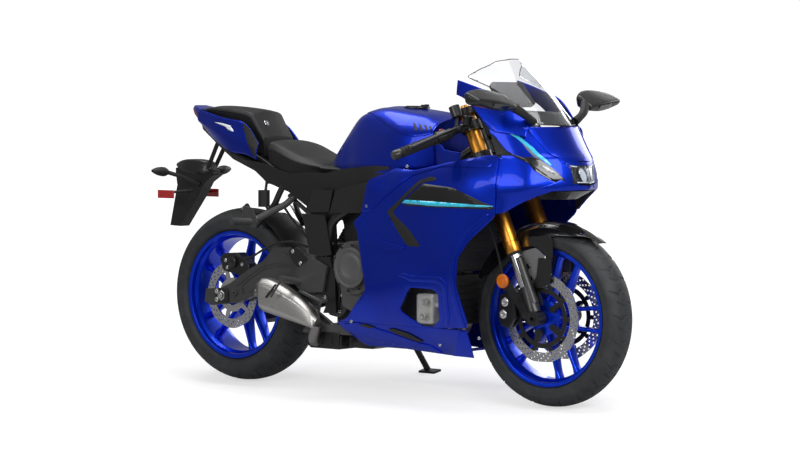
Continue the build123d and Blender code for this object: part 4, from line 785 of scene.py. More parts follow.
def tyre(name, node, body, centre, radius, width, crown_drop, rim_width, repeats):
    """Points at (x + r cos a, y, z + r sin a), with r less by the groove's depth."""
    outer, seat = tyre_section(radius, width, crown_drop, rim_width)
    run = run_along(outer)
    fine = np.linspace(0, run[-1], SECTION_STEPS)
    smooth = np.minimum(spline(run, outer, fine), [width / 2, radius]) * SMOOTH_SHARE
    smooth += at_runs(outer, run, fine) * (1 - SMOOTH_SHARE)
    section = np.vstack([smooth[:0:-1] * [-1, 1], smooth])
    a = circle_turns(TREAD_TURNS)
    y, r = section[:, 0, None] + 0 * a, section[:, 1, None]
    side = np.where(y >= 0, 0.0, math.pi / repeats)
    cut = grooved(a[None] + side, np.abs(y) / (width / 2), repeats)
    above = np.clip((r - (radius - 1.05 * crown_drop)) / 3, 0, 1)
    band = BAND_HEIGHT * np.exp(-((r - (BEAD_R + BAND_ABOVE_BEAD)) / BAND_SPREAD) ** 2)
    rings = around(centre, y, r - GROOVE_DEPTH * cut * above - band * (np.abs(y) > 0.6 * width / 2), a)
    lip = np.array([(seat, BEAD_R + 0.4), (seat - 14, BEAD_R + 0.4), (seat - 12, BEAD_R + 16)])
    lip = np.vstack([lip, lip[::-1] * [-1, 1]])
    points = np.vstack([rings, around(centre, lip[:, 0, None], lip[:, 1, None], a)])
    part = closed_up(points.reshape(-1, 3), grid_faces(*points.shape[:2], wrap_rows=True, wrap_cols=True))
    piece(name, *part, TYRE, body, node, angle=40)


tyre("front_tread", "front_tyre", "front_wheel", FRONT_AXLE, 300.0, 120.0, 30.0, 102.0, 22)
tyre("rear_tread", "rear_tyre", "rear_wheel", REAR_AXLE, 315.0, 180.0, 38.0, 152.0, 20)

# %% [markdown]
# ## Cast wheels
# Each wheel is one casting: a barrel that the tyre sits on, a hub, and five pairs of thin spokes. The
# barrel and hub are turned. A spoke is a rounded section carried from hub to barrel, and it swells at
# both ends, because a casting never meets another part of itself at a bare corner.

# %% Wheel
SPOKE_PAIRS = 5
RIM_BED_R = 206.0
HUB_BUMP, RIM_BUMP = 20, 17  # how far a spoke's swelling reaches from the hub and from the rim
TIP_HALF = 15.0
SPOKE_SQUARENESS = 3.2


def spoke(centre, turn, side, root_r, root_half):
    """Half sizes grow near hub and rim by bumps e^-(d/20)^2 and e^-(d/17)^2; the line runs outwards."""
    t = np.linspace(0, 1, 26)
    reach = root_r - 6 + (RIM_BED_R + 6 - root_r) * t
    offset = side * (25 + (40 - 25) * t)
    swell = np.exp(-((reach - root_r) / HUB_BUMP) ** 2)
    swell += 1.15 * np.exp(-((RIM_BED_R - reach) / RIM_BUMP) ** 2)
    wide = (9.2 - 2.4 * t) * (1 + 0.75 * swell)
    deep = (root_half + (TIP_HALF - root_half) * t**0.8) * (1 + 0.12 * swell)
    a = circle_turns(20)
    power = SPOKE_SQUARENESS
    square = (np.abs(np.cos(a)) ** power + np.abs(np.sin(a)) ** power) ** (-1 / power)
    u = offset[:, None] + wide[:, None] * square * np.cos(a)
    y = deep[:, None] * square * np.sin(a)
    r = reach[:, None] + 0 * a
    c, s = math.cos(turn), math.sin(turn)
    return shell(np.stack([centre[0] + r * c - u * s, y, centre[2] + r * s + u * c], -1))


def mirrored(profile):
    """The profile's other half, from the last point back."""
    return [(-y, r) for y, r in reversed(profile)]


def wheel(name, node, body, centre, half, hub, root_r, root_half):
    """Barrel, hub and spokes, each a closed shape that runs into its neighbours."""
    barrel = [(half, RIM_R), (half - 6, RIM_R), (half - 6.5, BEAD_R), (half - 24, BEAD_R),
              (half - 34, RIM_BED_R + 5)]
    inner = [(half - 30, RIM_BED_R), (half - 18, BEAD_R - 5), (half - 2, BEAD_R - 3)]
    profile = barrel + mirrored(barrel) + mirrored(inner) + inner
    parts = [wheel_ring(rounded(profile, 2.2, 4), centre, 160),
             wheel_ring(rounded(hub, 1.6, 3), centre, 72)]
    for pair_number in range(SPOKE_PAIRS):
        turn = 2 * math.pi * pair_number / SPOKE_PAIRS
        parts += [spoke(centre, turn, side, root_r, root_half) for side, _ in SIDES]
    piece(name, *joined(*parts), BLUE_CAST, body, node, angle=38)


front_hub = [(60, 22), (51.2, 22), (51.2, 58), (43.2, 58), (39.2, 34)]
front_hub += mirrored(front_hub) + [(-60, 11.3), (60, 11.3)]
wheel("front_wheel_casting", "front_rim", "front_wheel", FRONT_AXLE, 51.0, front_hub, 30, 32)
rear_hub = [(69.7, 30), (69.7, 60), (59.7, 60), (53.7, 48), (-65.2, 48), (-71.2, 62), (-81.2, 62),
            (-81.2, 11.3), (69.7, 11.3)]
wheel("rear_wheel_casting", "rear_rim", "rear_wheel", REAR_AXLE, 76.0, rear_hub, 44, 40)

# %% [markdown]
# ## Brake discs
# A disc is a flat ring with rows of small holes and a wavy edge. It is cut flat like a panel, then
# given its thickness. The front rings float on pins round a dark carrier, and the rear one is a single
# plate. The rings are ground, so they are bright and shine in circles.

# %% Drilled rings
def circle(radius, count, centre=(0.0, 0.0), wave=0.0, waves=12):
    """Closed line of radius r + w cos(n a)."""
    a = circle_turns(count)
    r = radius + wave * np.cos(waves * a)
    return np.stack([centre[0] + r * np.cos(a), centre[1] + r * np.sin(a)], -1)


def plate(outline, holes, y0, y1, step, centre=(0, 0, 0)):
    """The flat region at y0 and at y1, with a wall round each of its edges."""
    flat, faces = cut_flat(outline, holes, step)
    directed = np.vstack([faces[:, [0, 1]], faces[:, [1, 2]], faces[:, [2, 0]]])
    unique, count = np.unique(np.sort(directed, 1), axis=0, return_counts=True)
    rim = {tuple(edge) for edge in unique[count == 1].tolist()}
    border = np.array([edge for edge in directed.tolist() if tuple(sorted(edge)) in rim])
    n = len(flat)
    walls = np.stack([border[:, 1], border[:, 0], border[:, 0] + n, border[:, 1] + n], -1)
    low = np.stack([centre[0] + flat[:, 0], np.full(n, y0), centre[2] + flat[:, 1]], -1)
    points = np.vstack([low, low + [0, y1 - y0, 0]])
    rows = faces.tolist() + (faces[:, ::-1] + n).tolist() + walls.tolist()
    a, b, c = (points[faces[:, k]] for k in range(3))
    good = (np.cross(b - a, c - a)[:, 1].sum() < 0) == (y1 > y0)
    return points, rows if good else [row[::-1] for row in rows]


HOLE_R = 3.6


def drilled(radius, inner, rows, centre, y0, y1, wave, waves):
    """A ring with holes on circles: (radius, how many, first angle) for each row."""
    holes = [circle(inner, 120)]
    for row_r, count, first in rows:
        for a in circle_turns(count) + first:
            holes.append(circle(HOLE_R, 9, (row_r * math.cos(a), row_r * math.sin(a))))
    return plate(circle(radius - wave, 168, wave=wave, waves=waves), holes, y0, y1, 3.4, centre)


def web(count, root, tip, wide, centre, y0, y1):
    """Arms of a carrier, from an inner to an outer radius, each a little narrower outside."""
    arms = []
    for k in range(count):
        a = 2 * math.pi * (k + 0.5) / count
        c, s = math.cos(a), math.sin(a)
        line = rounded([(root, -wide), (tip, -0.7 * wide), (tip, 0.7 * wide), (root, wide)], 3, 3)
        arm = np.stack([line[:, 0] * c - line[:, 1] * s, line[:, 0] * s + line[:, 1] * c], -1)
        arms.append(plate(arm, [], y0, y1, 12.0, centre))
    return arms


def band(y, half, low, high, radius):
    """A carrier's ring, y - half to y + half wide and low to high in radius."""
    return rounded([(y - half, high), (y - half, low), (y + half, low), (y + half, high)], radius, 2)


RING_Y, RING_HALF, PIN_CIRCLE_R, PIN_COUNT = 66.0, 2.5, 108, 10
PIN = [(0, 7.5), (0.4, 8), (6.4, 8), (6.8, 7.5)]
FRONT_HOLES = [(142.5, 30, 0.0), (134.5, 30, 0.075), (126.5, 30, 0.15), (119.5, 30, 0.02)]
for side, word in SIDES:
    y = side * RING_Y
    ring = drilled(149.0, 115.0, FRONT_HOLES, FRONT_AXLE, y - RING_HALF, y + RING_HALF, 1.6, 10)
    piece(f"front_disc_{word}", *ring, BRIGHT_STEEL, "front_wheel", "front_discs" if side < 0 else ())
    carrier = [wheel_ring(band(y, 2.2, 85, 101, 0.8), FRONT_AXLE, 96)]
    for a in circle_turns(PIN_COUNT):
        x, z = FRONT_AXLE[0] + PIN_CIRCLE_R * math.cos(a), FRONT_AXLE[2] + PIN_CIRCLE_R * math.sin(a)
        carrier.append(turned((x, y - 3.4, z), (x, y + 3.4, z), PIN, 20))
    carrier += web(5, 40, 88, 11, FRONT_AXLE, *sorted((y - side * 14.4, y + side * 2.0)))
    piece(f"front_carrier_{word}", *joined(*carrier), SATIN_BLACK, "front_wheel")

REAR_HOLES = [(115.5, 26, 0.0), (107.0, 26, 0.09), (98.5, 26, 0.18)]
ring = drilled(122.5, 88.0, REAR_HOLES, REAR_AXLE, -86.5, -81.5, 1.4, 8)
centre_ring = wheel_ring(band(-84.0, 2.3, 38, 62, 0.6), REAR_AXLE, 72)
rear = joined(ring, centre_ring, *web(5, 58, 92, 10, REAR_AXLE, -86.2, -81.8))
piece("rear_disc_plate", *rear, BRIGHT_STEEL, "rear_wheel", "rear_disc")

# %% [markdown]
# ## Side fairing
# The side fairing is one moulded sheet from the tank to the nose. It bulges over the rider's knee,
# is widest at the waist, and tucks in below. A sheet of springy metal pinned at a few points would take
# this shape, and the thin-plate spline is the sum for that sheet: how far out the surface stands at
# any place of the side view is a sum of r^2 log r terms, one for each measured point.

# %% The side's surface
SIDE_ROWS = (
    (600, 150, 800, 186, 760, 196, 650, 208, 450, 184, 260, 110, 150),
    (750, 165, 808, 194, 770, 206, 660, 216, 450, 188, 260, 112, 150),
    (900, 175, 815, 204, 775, 218, 680, 228, 450, 190, 255, 118, 150),
    (1050, 185, 825, 216, 775, 232, 700, 236, 450, 190, 250, 125, 150),
    (1200, 195, 838, 226, 775, 238, 715, 240, 450, 200, 250, 160, 150),
    (1322, 198, 851, 209, 812, 226, 746, 226, 704, 228, 650, 216, 560),
)


def side_points():
    rows = []
    for x, *pairs in SIDE_ROWS:
        rows += [(x, z, y) for y, z in zip(pairs[0::2], pairs[1::2])]
    return np.array(rows, float)


class Plate:
    """Height over (x, z): a0 + a1 x + a2 z + sum of w r^2 log r, with r the distance to each pin."""

    def __init__(self, pins, stiffness):
        self.at = pins[:, :2] / MM
        count = len(pins)
        system = np.zeros((count + 3, count + 3))
        system[:count, :count] = self.kernel(self.at) + stiffness * np.eye(count)
        system[:count, count] = 1
        system[:count, count + 1:] = self.at
        system[count:, :count] = system[:count, count:].T
        self.weights = np.linalg.solve(system, np.concatenate([pins[:, 2], np.zeros(3)]))

    def kernel(self, places):
        square = ((places[:, None] - self.at[None]) ** 2).sum(-1)
        return 0.5 * square * np.log(np.maximum(square, 1e-12))

    def __call__(self, flat):
        flat = np.asarray(flat, float) / MM
        full = np.concatenate([self.kernel(flat), np.ones((len(flat), 1)), flat], 1)
        return full @ self.weights


SIDE = Plate(side_points(), 0.00002)


def on_side(flat, lift=0.0):
    """Point of the right side's surface at (x, z), moved out along its normal by the lift."""
    flat = np.asarray(flat, float)
    points = np.stack([flat[:, 0], -SIDE(flat), flat[:, 1]], -1)
    slope_x, slope_z = ((SIDE(flat + way) - SIDE(flat - way)) / 2 for way in ([1, 0], [0, 1]))
    normal = np.stack([-slope_x, -np.ones(len(flat)), -slope_z], -1)
    return points + lift * normal / np.linalg.norm(normal, axis=1, keepdims=True)


print("pins under the side:", len(side_points()))


# %% Panels of the side
def side_pieces(name, outline, finish, thickness, lift, radius, bevel, holes=(), step=13.0,
                stands=((), ())):
    """A region of the side's surface, on both sides of the bike, with its wall inwards."""
    flat, faces = cut_flat(rounded(outline, radius), [rounded(hole, 9.0) for hole in holes], step)
    points = on_side(flat, lift)
    a, b, c = (points[faces[:, k]] for k in range(3))
    if np.cross(b - a, c - a)[:, 1].sum() > 0:
        faces = faces[:, ::-1]
    pair(name, (points, faces.tolist()), finish, stands=stands, thickness=thickness, bevel=bevel)


SIDE_OUTLINE = [(598, 255.3), (644, 268), (752, 372), (703, 576), (681, 602), (721, 628), (734, 680),
                (749, 748), (851, 784), (939, 772), (1100, 815), (1277, 841), (1319, 838), (1321.4, 640),
                (1222, 560), (1175, 499), (1163, 408), (1190, 292), (1186, 262), (1000, 255.3),
                (640, 255.3)]
VENT = [(854, 627), (878, 631), (942, 582), (980, 554), (1010, 533), (957, 535), (899, 584)]
WINDOW = [(899, 311), (957, 391), (1065, 389), (1083, 370), (1070, 285), (1032, 258), (979, 259)]
VENT_PANEL = [(838, 636), (884, 643), (952, 590), (992, 562), (1030, 526), (952, 524), (888, 574)]
side_pieces("side_fairing", SIDE_OUTLINE, BLUE, 4.0, 0.0, 14, 1.1, [VENT, WINDOW],
            stands=("side_cowl_right", "side_cowl_left"))
side_pieces("vent_louvre", VENT_PANEL, GLOSS_BLACK, 2.5, -4.4, 5, 1.1, stands=("vent_panels", ()))

# %% [markdown]
# ## Belly
# The belly closes the fairing below the engine, with the collector box showing between its two walls.
# It follows the same surface, in its lower part, and meets the side fairing at a thin seam.

# %% Belly walls
BELLY = [(585, 246), (679, 171), (833, 172), (1048, 160), (1120, 161), (1176, 200), (1182, 254.6),
         (1000, 254.6), (600, 254.6), (590, 250)]
side_pieces("belly_wall", BELLY, BLUE, 4.0, 0.0, 10, 1.1, stands=("belly_cowl", ()))
bridge = shell([[(1010, y, 166), (1060, y, 166), (1060, y, 170), (1010, y, 170)] for y in (-134, 0, 134)])
soften(piece("belly_bridge", *bridge, BLUE), 0.8)

# %% [markdown]
# ## Nose
# The nose is a set of level lines, each a row of points from the middle out to the side. A spline along
# each line and another from line to line make one surface round the front. Panels are cut from it
# flat, in the surface's own two directions, after their outline's places have been looked up there.

# %% The front's surface
NOSE = (
    (650, 1440, 0, 1436, 48, 1418, 110, 1388, 160, 1362, 192, 1322, 228),
    (704, 1500, 0, 1494, 48, 1470, 110, 1425, 165, 1385, 200, 1322, 226),
    (746, 1538, 0, 1521, 48, 1498, 100, 1455, 152, 1408, 195, 1322, 226),
    (820, 1515, 0, 1497, 70, 1465, 122, 1425, 160, 1380, 188, 1322, 206),
    (851, 1490, 0, 1468, 87, 1440, 128, 1405, 160, 1360, 188, 1300, 204),
    (933, 1440, 0, 1402, 120, 1378, 146, 1350, 168, 1318, 186, 1272, 202),
)


def full_row(z, *pairs):
    """Right end of the row first, through the middle, to its left end."""
    half = list(zip(pairs[0::2], pairs[1::2]))
    return [(x, -y, z) for x, y in reversed(half)] + [(x, y, z) for x, y in half[1:]]


NOSE_GRID = smooth_rows([full_row(*row) for row in NOSE], 120, 161)
NOSE_MIDDLE = NOSE_GRID.shape[1] // 2
NOSE_INSIDE = (1250, 0, 780)
NOSE_STRETCH = 2.6  # the front is this much longer across than up


def front_shares(grid, outline, side):
    """Shares (u, v) of a surface across the front, where the side view shows each (x, z) of an outline."""
    middle = grid.shape[1] // 2
    heights = grid[:, middle, 2]
    half = np.linspace(0, 0.5, middle + 1)
    shares = []
    for x, z in outline:
        u = np.interp(z, heights, np.linspace(0, 1, len(heights)))
        row = looked_up(grid, np.full(middle + 1, u), half)
        v = np.interp(x, np.maximum.accumulate(row[:, 0]), half)
        shares.append((u, v if side < 0 else 1 - v))
    return shares


def nose_panel(outline, lift=0.0, radius=0.01, step=0.013):
    """A region of the front's surface inside a line of shares (u, v)."""
    return region(NOSE_GRID, outline, NOSE_INSIDE, lift, radius, step, NOSE_STRETCH)


print("front surface from z", NOSE_GRID[0, NOSE_MIDDLE, 2], "to", NOSE_GRID[-1, NOSE_MIDDLE, 2])

# %% Hood, beak and lamp
HOOD_SIDE = [(1277, 917), (1306, 893), (1346, 853), (1421, 821.8), (1473, 793.6), (1494, 760), (1515, 748)]
HOOD_TOP = (1273, 932.9)
LAMP_HALF = 62.0


def nose_height(z):
    """Share of the front's height at a level."""
    heights = NOSE_GRID[:, NOSE_MIDDLE, 2]
    return float(np.interp(z, heights, np.linspace(0, 1, len(heights))))


def lamp_share(z, y):
    across_share = np.linspace(0, 1, 161)
    row = looked_up(NOSE_GRID, np.full(161, nose_height(z)), across_share)
    return nose_height(z), np.interp(y, row[:, 1], across_share)


hood_right, hood_left = (front_shares(NOSE_GRID, HOOD_SIDE, side) for side, _ in SIDES)
top_v = front_shares(NOSE_GRID, [HOOD_TOP], -1)[0][1]
top = [(1.0, v) for v in np.linspace(top_v, 1 - top_v, 9)]
opening = [lamp_share(z, y) for z, y in ((750, -LAMP_HALF), (818, -LAMP_HALF), (822, 0), (818, LAMP_HALF),
                                         (750, LAMP_HALF))]
outline = hood_right + opening + hood_left[::-1] + top[::-1]
panel("nose_hood", nose_panel(outline, radius=0.006), BLUE, 4.0, 1.0, "nose_cowl")

BEAK = [(1322, 840), (1364, 840), (1382, 830), (1416, 812), (1431, 792), (1471, 760), (1500, 744),
        (1536, 741), (1536, 727), (1477, 724), (1418, 696), (1343, 652), (1322, 640)]
for side, word in SIDES:
    panel(f"beak_{word}", nose_panel(front_shares(NOSE_GRID, BEAK, side), radius=0.004), BLUE, 4.0, 1.0)

# %% Ears beside the screen
EAR = (
    (1396, 160, 900, 150, 925, 126, 938),
    (1330, 196, 915, 182, 955, 150, 1004),
    (1272, 202, 930, 188, 985, 160, 1040),
    (1190, 190, 1005, 182, 1030, 165, 1068),
    (1112, 172, 1040, 170, 1062, 165, 1090),
)
ear = smooth_rows([[(x, -y, z) for y, z in zip(p[0::2], p[1::2])] for x, *p in EAR], 40, 16)
pair("screen_side", sheet(ear, (1250, 0, 980)), BLUE, thickness=4.0, bevel=1.0)

# %% [markdown]
# ## Screen
# The screen is a thin clear sheet, bent in both directions, that sits between the ears. It is cut from
# a surface through level lines, as the nose is. A black band runs along its lower edge, where it is
# held.

# %% Screen and its band
SCREEN_ROWS = (
    (930, 1453, 0, 1441, 50, 1416, 104, 1392, 136),
    (1010, 1380, 0, 1368, 56, 1333, 112, 1284, 158),
    (1062, 1331, 0, 1318, 56, 1280, 112, 1215, 160),
    (1102, 1292, 0, 1278, 50, 1232, 100, 1130, 148),
    (1168, 1228, 0, 1212, 40, 1165, 80, 1060, 120),
)
SCREEN_GRID = smooth_rows([full_row(*row) for row in SCREEN_ROWS], 60, 81)
SCREEN_INSIDE = (1200, 0, 940)
SCREEN_STRETCH = 1.6
SCREEN_CORNER = 0.03
EDGE = [(1446, 938), (1404, 942), (1249, 1058), (1136, 1102), (1166, 1127), (1200, 1152), (1228, 1160)]
BAND = [(1443, 941), (1404, 944), (1356, 980), (1352, 990), (1392, 986), (1404, 984)]


def screen_outline(edge):
    """The same edge on the right and on the left, and a line across the top."""
    return front_shares(SCREEN_GRID, edge, -1) + front_shares(SCREEN_GRID, edge, 1)[::-1]


def screen_part(name, edge, finish, thickness, lift, stands_for=()):
    part = region(SCREEN_GRID, screen_outline(edge), SCREEN_INSIDE, lift, SCREEN_CORNER, 0.03,
                  SCREEN_STRETCH)
    panel(name, part, finish, thickness, 0.5, stands_for, 50)


screen_part("screen", EDGE, SCREEN, 2.6, 0.0, "windscreen")
rim = rounded(np.array(screen_outline(EDGE)) * [1.0, SCREEN_STRETCH], SCREEN_CORNER)
rim = np.vstack([rim, rim[:1]])
run = run_along(rim)
rim = at_runs(rim, run, np.linspace(0, run[-1], 180))
rim_way = lifted(SCREEN_GRID, rim[:, 0], rim[:, 1] / SCREEN_STRETCH, SCREEN_INSIDE, -1.3)
piece("screen_rim", *tube(rim_way, 1.9, 8), GLOSS_BLACK, angle=60)
screen_part("screen_band", BAND, GLOSS_BLACK, 0.4, -3.2)

# %% [markdown]
# ## Tank
# The tank is a closed shell through rings. Each ring runs from the ridge over a shoulder to the knee
# and under. The splines between rings keep the long highlights smooth, and one crease runs along the
# shoulder, where the rider's knee meets the cover.

# %% Tank
TANK = (
    (468, 838, 30, 832, 56, 812, 66, 794),
    (520, 897, 45, 886, 84, 850, 100, 795),
    (578, 958, 62, 944, 98, 892, 118, 798),
    (636, 989, 80, 974, 112, 927, 138, 801),
    (724, 1002, 92, 986, 136, 920, 158, 801),
    (835, 993, 100, 978, 160, 908, 172, 799),
    (920, 983, 100, 966, 160, 905, 168, 797),
    (992, 969, 80, 952, 146, 915, 140, 805),
)
TANK_INSIDE = (760, 0, 800)
CAP_AT = np.array([800.0, 0.0, 996.0])


def ring_rows(table, crest, samples):
    """Right half of each ring as a spline from ridge to edge; the crest's share is kept as a point."""
    rows = []
    for x, top, *pairs in table:
        half = list(zip([0.0] + pairs[0::2], [top] + pairs[1::2]))
        rows.append(np.column_stack([np.full(samples, float(x)), eased(half, samples, crest)]))
    return np.array(rows)


def closed_rings(right):
    """Rings for a closed body: the right half down, a point in the middle below, and the left half up."""
    return np.concatenate([right * [1, -1, 1], (right[:, -1] * [1, 0, 1])[:, None], right[:, :0:-1]], 1)


tank_rows = ring_rows(TANK, 0.8, 41)
piece("tank_cover", *shell(closed_rings(through(tank_rows, 110))), BLUE, stands_for="fuel_tank", angle=55)
COLLAR = [(0, 46), (5, 46.5), (7.5, 45.5), (8, 43), (8, 40.6)]
piece("filler_collar", *turned(CAP_AT - [0, 0, 3], CAP_AT + [0, 0, 6], COLLAR, 64), SATIN_BLACK)

# %% [markdown]
# ## Seats
# A sport seat is a firm foam pad under a stretched cover. Its top is nearly flat, it rolls over the edge
# in a short curve, and the cover pulls in along a welt near the rim. The pad is a closed shell of
# rings with that roll built in, and a subdivision gives it the even swell of foam. A cloth run would
# change so firm a shape by a millimetre or two only, so none is used.

# %% Rider's and pillion's pads
RIDER_SEAT = (
    (206, 880, 95, 874, 118, 850, 793),
    (265, 868, 100, 860, 128, 838, 767),
    (350, 832, 90, 828, 128, 806, 752),
    (440, 806, 62, 802, 112, 790, 750),
    (462, 792, 66, 790, 112, 784, 750),
    (552, 790, 66, 788, 104, 780, 758),
)
PILLION_SEAT = (
    (-175, 992, 30, 990, 48, 984, 966),
    (-90, 1002, 45, 998, 66, 986, 924),
    (60, 990, 62, 984, 84, 970, 856),
    (104, 968, 66, 960, 84, 944, 837),
    (150, 896, 68, 890, 80, 880, 815),
)
WELT_DEPTH, WELT_AT, WELT_SPREAD = 1.6, 4.6, 0.16
PAD_ENDS = ((0.9, 2.0), (0.97, 0.5))  # a pad's end closes in two steps: share of the ring, and how far out


def pad(name, table, node, along):
    """Rings from the ridge, over the shoulder and under; the welt sinks by 1.6 e^-((k - 4.6) / 0.16)^2."""
    rows = []
    for x, top, ys, zs, ye, ze, low in table:
        half = [(0, top), (0.5 * ys, top - 0.2 * (top - zs)), (ys, zs),
                (0.5 * (ys + ye) + 3, 0.5 * (zs + ze) + 3), (ye, ze),
                (ye - 1, ze - 9), (ye - 5, 0.5 * (ze + low)), (ye - 6, low)]
        rows.append(np.column_stack([np.full(31, float(x)), through(half, 31)]))
    dense = through(rows, along)
    dense[:, :, 1] -= WELT_DEPTH * np.exp(-((np.linspace(0, 7, 31) - WELT_AT) / WELT_SPREAD) ** 2)
    rings = closed_rings(dense)
    ends = rings.mean(1, keepdims=True)
    close = [ends[:1] + (rings[:1] - ends[:1]) * s - [out, 0, 0] for s, out in PAD_ENDS]
    far = [ends[-1:] + (rings[-1:] - ends[-1:]) * s + [out, 0, 0] for s, out in PAD_ENDS[::-1]]
    obj = piece(name, *shell(np.concatenate(close + [rings] + far)), SEAT, stands_for=node, angle=60)
    swell = obj.modifiers.new("swell", "SUBSURF")
    swell.levels = swell.render_levels = 1
    return obj


pad("rider_pad", RIDER_SEAT, "rider_seat", 60)
pad("pillion_pad", PILLION_SEAT, "pillion_seat", 44)

# %% [markdown]
# ## Tail
# Two thin flanks sweep up and back beside the pillion pad, and a small tip joins them. Each is a sheet
# through rows of three points, with its crease along the middle.

# %% Tail flanks and tip
TAIL = (
    (156, 112, 868, 124, 840, 126, 808),
    (88, 106, 936, 122, 880, 116, 828),
    (10, 98, 953, 112, 895, 104, 836),
    (-75, 86, 966, 98, 915, 82, 868),
    (-130, 76, 978, 84, 930, 66, 896),
    (-190, 64, 988, 68, 950, 52, 938),
)
TAIL_INSIDE = (0, 0, 900)
flank_rows = [np.column_stack([np.full(17, float(x)), eased(list(zip(p[0::2], p[1::2])), 17, 0.55)])
              for x, *p in TAIL]
flank = through(flank_rows, 60) * [1, -1, 1]
pair("tail_flank", sheet(flank, TAIL_INSIDE), BLUE, stands=("tail_cowl", ()), thickness=4.0, bevel=1.0)
TIP = (
    (-184, 64, 988, -186, 68, 952),
    (-214, 51, 997, -216, 52, 972),
    (-238, 34, 1004, -244, 36, 990),
)
tip_rings = through([[(xt, -yt, zt), (xl, -yl, zl), (xl, yl, zl), (xt, yt, zt)]
                     for xt, yt, zt, xl, yl, zl in TIP], 9)
piece("tail_tip", *shell([rounded(ring, 7.0, 4) for ring in tip_rings]), BLUE, angle=40)

# %% [markdown]
# ## Front mudguard
# The mudguard is an arch round the wheel. At each angle its section runs from one skirt over the crown to
# the other, and the skirt's edge comes from the side view: the ray at that angle is cut where it
# leaves the outline.

# %% Mudguard
FENDER_R = 322.0
FENDER_DEPTH = 84
FENDER_OUTLINE = np.array([(-300, 419), (-246, 418), (-180, 474), (-106, 526), (53, 574), (230, 577),
                           (230, 700), (-300, 700)]) + [WHEELBASE, 0]
# distance from the middle, and how far below the crown
PROFILE = np.array([(0, 0), (20, 1), (38, 5), (51, 12.5), (60, 24), (65, 37), (67, 50), (68, FENDER_DEPTH)])
FENDER_TURNS, FENDER_STEPS = 90, 61


def fender_edge(a):
    """Smallest radius, for each angle, at which the ray is still inside the side view's outline."""
    r = np.linspace(FENDER_R - FENDER_DEPTH, FENDER_R - 2, 120)
    spots = around(FRONT_AXLE, 0.0, r[None], a[:, None])[..., [0, 2]]
    inside = inside_line(spots.reshape(-1, 2), FENDER_OUTLINE).reshape(spots.shape[:2])
    return np.where(inside.any(1), r[np.argmax(inside, 1)], FENDER_R - 2)


a = np.radians(np.linspace(52, 156, FENDER_TURNS))
edge = np.convolve(np.pad(fender_edge(a), 3, mode="edge"), np.ones(7) / 7, "valid")
drop = run_along(PROFILE)
edge_at = np.interp(FENDER_R - edge, PROFILE[:, 1], drop)
s = np.linspace(-1, 1, FENDER_STEPS)
along = np.abs(s)[None] * edge_at[:, None]
y = np.sign(s)[None] * np.interp(along, drop, PROFILE[:, 0])
arch = around(FRONT_AXLE, y, FENDER_R - np.interp(along, drop, PROFILE[:, 1]), a[:, None])
fender = piece("front_mudguard", *sheet(arch, FRONT_AXLE), GLOSS_BLACK, "steering", "front_fender",
               angle=40)
wall(fender, 3.0, 0.7)
BRACKET_LINE = rounded([(1293, 527), (1345, 538), (1372, 536), (1408, 508), (1440, 490), (1440, 566),
                        (1415, 572), (1345, 570), (1309, 536)], 6)
for side, word in SIDES:
    bracket = plate(BRACKET_LINE, [], *sorted((side * 66.5, side * 70.5)), 14)
    soften(piece(f"mudguard_bracket_{word}", *bracket, GLOSS_BLACK, "steering"), 0.8)

# %% [markdown]
# ## Parts whose solid is already right
# Castings, clamps, tubes and brackets have their true shape in the solids, and lack only a finish and the
# small radius that every real edge has. A copy of the solid's triangles is merged into one skin, flat
# neighbours are joined into whole faces, and a narrow bevel goes round its sharp edges.

# %% A copy with broken edges
MERGE_M = 0.00002
FLAT_ANGLE, SHARP_ANGLE = 1.0, 36


def softened(node, finish, width):
    """Merged copy of a solid's mesh: flat triangles joined, sharp edges rounded by a width in mm."""
    body = frame["nodes"][node]["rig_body"]
    mesh = bpy.data.meshes.new(node + "_finished")
    work = bmesh.new()
    work.from_mesh(frame["nodes"][node].data)
    bmesh.ops.remove_doubles(work, verts=work.verts, dist=MERGE_M)
    bmesh.ops.dissolve_limit(work, angle_limit=math.radians(FLAT_ANGLE), verts=work.verts, edges=work.edges)
    work.to_mesh(mesh)
    work.free()
    mesh.materials.clear()
    mesh.materials.append(finish.material)
    mesh.shade_smooth()
    mesh.set_sharp_from_angle(angle=math.radians(SHARP_ANGLE))
    obj = bpy.data.objects.new(mesh.name, mesh)
    bpy.context.scene.collection.objects.link(obj)
    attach(obj, body)
    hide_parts(node)
    if width:
        soften(obj, width)


PLAIN = (  # a finish, and how wide the broken edge of each of its nodes is
    (SATIN_BLACK, {"main_frame": 0.8, "collector_box": 1.5, "shock_absorber": 0, "rear_sprocket": 0.5,
                   "rear_caliper": 1.5, "front_calipers": 1.8, "fork_lowers": 1.5, "triple_clamps": 1.5,
                   "handlebars": 0.8, "levers": 0.5, "stand_leg": 1.0, "side_covers": 2.6,
                   "seat_panels": 3.0, "chin_cowl": 2.0, "cowl_stay": 0, "fuel_cap": 1.0}),
    (MATT_BLACK, {"ribbed_guard": 1.0, "tail_under": 1.2, "plate_carrier": 1.2, "rear_hugger": 0.6,
                  "chain_guard": 0.6, "brake_reservoir": 1.0, "cowl_infill": 0.6, "instrument_panel": 3.0}),
    (GLOSS_BLACK, {"headlamp": 0.8, "position_lamps": 0.5}),
    (ENGINE_GREY, {"engine": 1.5, "engine_covers": 2.0}),
    (DARK_GREY, {"swingarm": 2.0, "footrests": 1.2}),
    (RED, {"tail_lamp": 1.5, "rear_reflectors": 0.8}),
    (AMBER, {"side_reflectors": 0.8}),
    (SILVER, {"canister": 1.6}),
    (CORE, {"radiator": 0}),
    (BLUED, {"exhaust_headers": 0}),
    (CHAIN_STEEL, {"chain": 0}),
    (RUBBER, {"grips": 0}),
)
for finish, widths in PLAIN:
    for node, width in widths.items():
        softened(node, finish, width)
print("finished copies:", sum(len(widths) for _, widths in PLAIN))

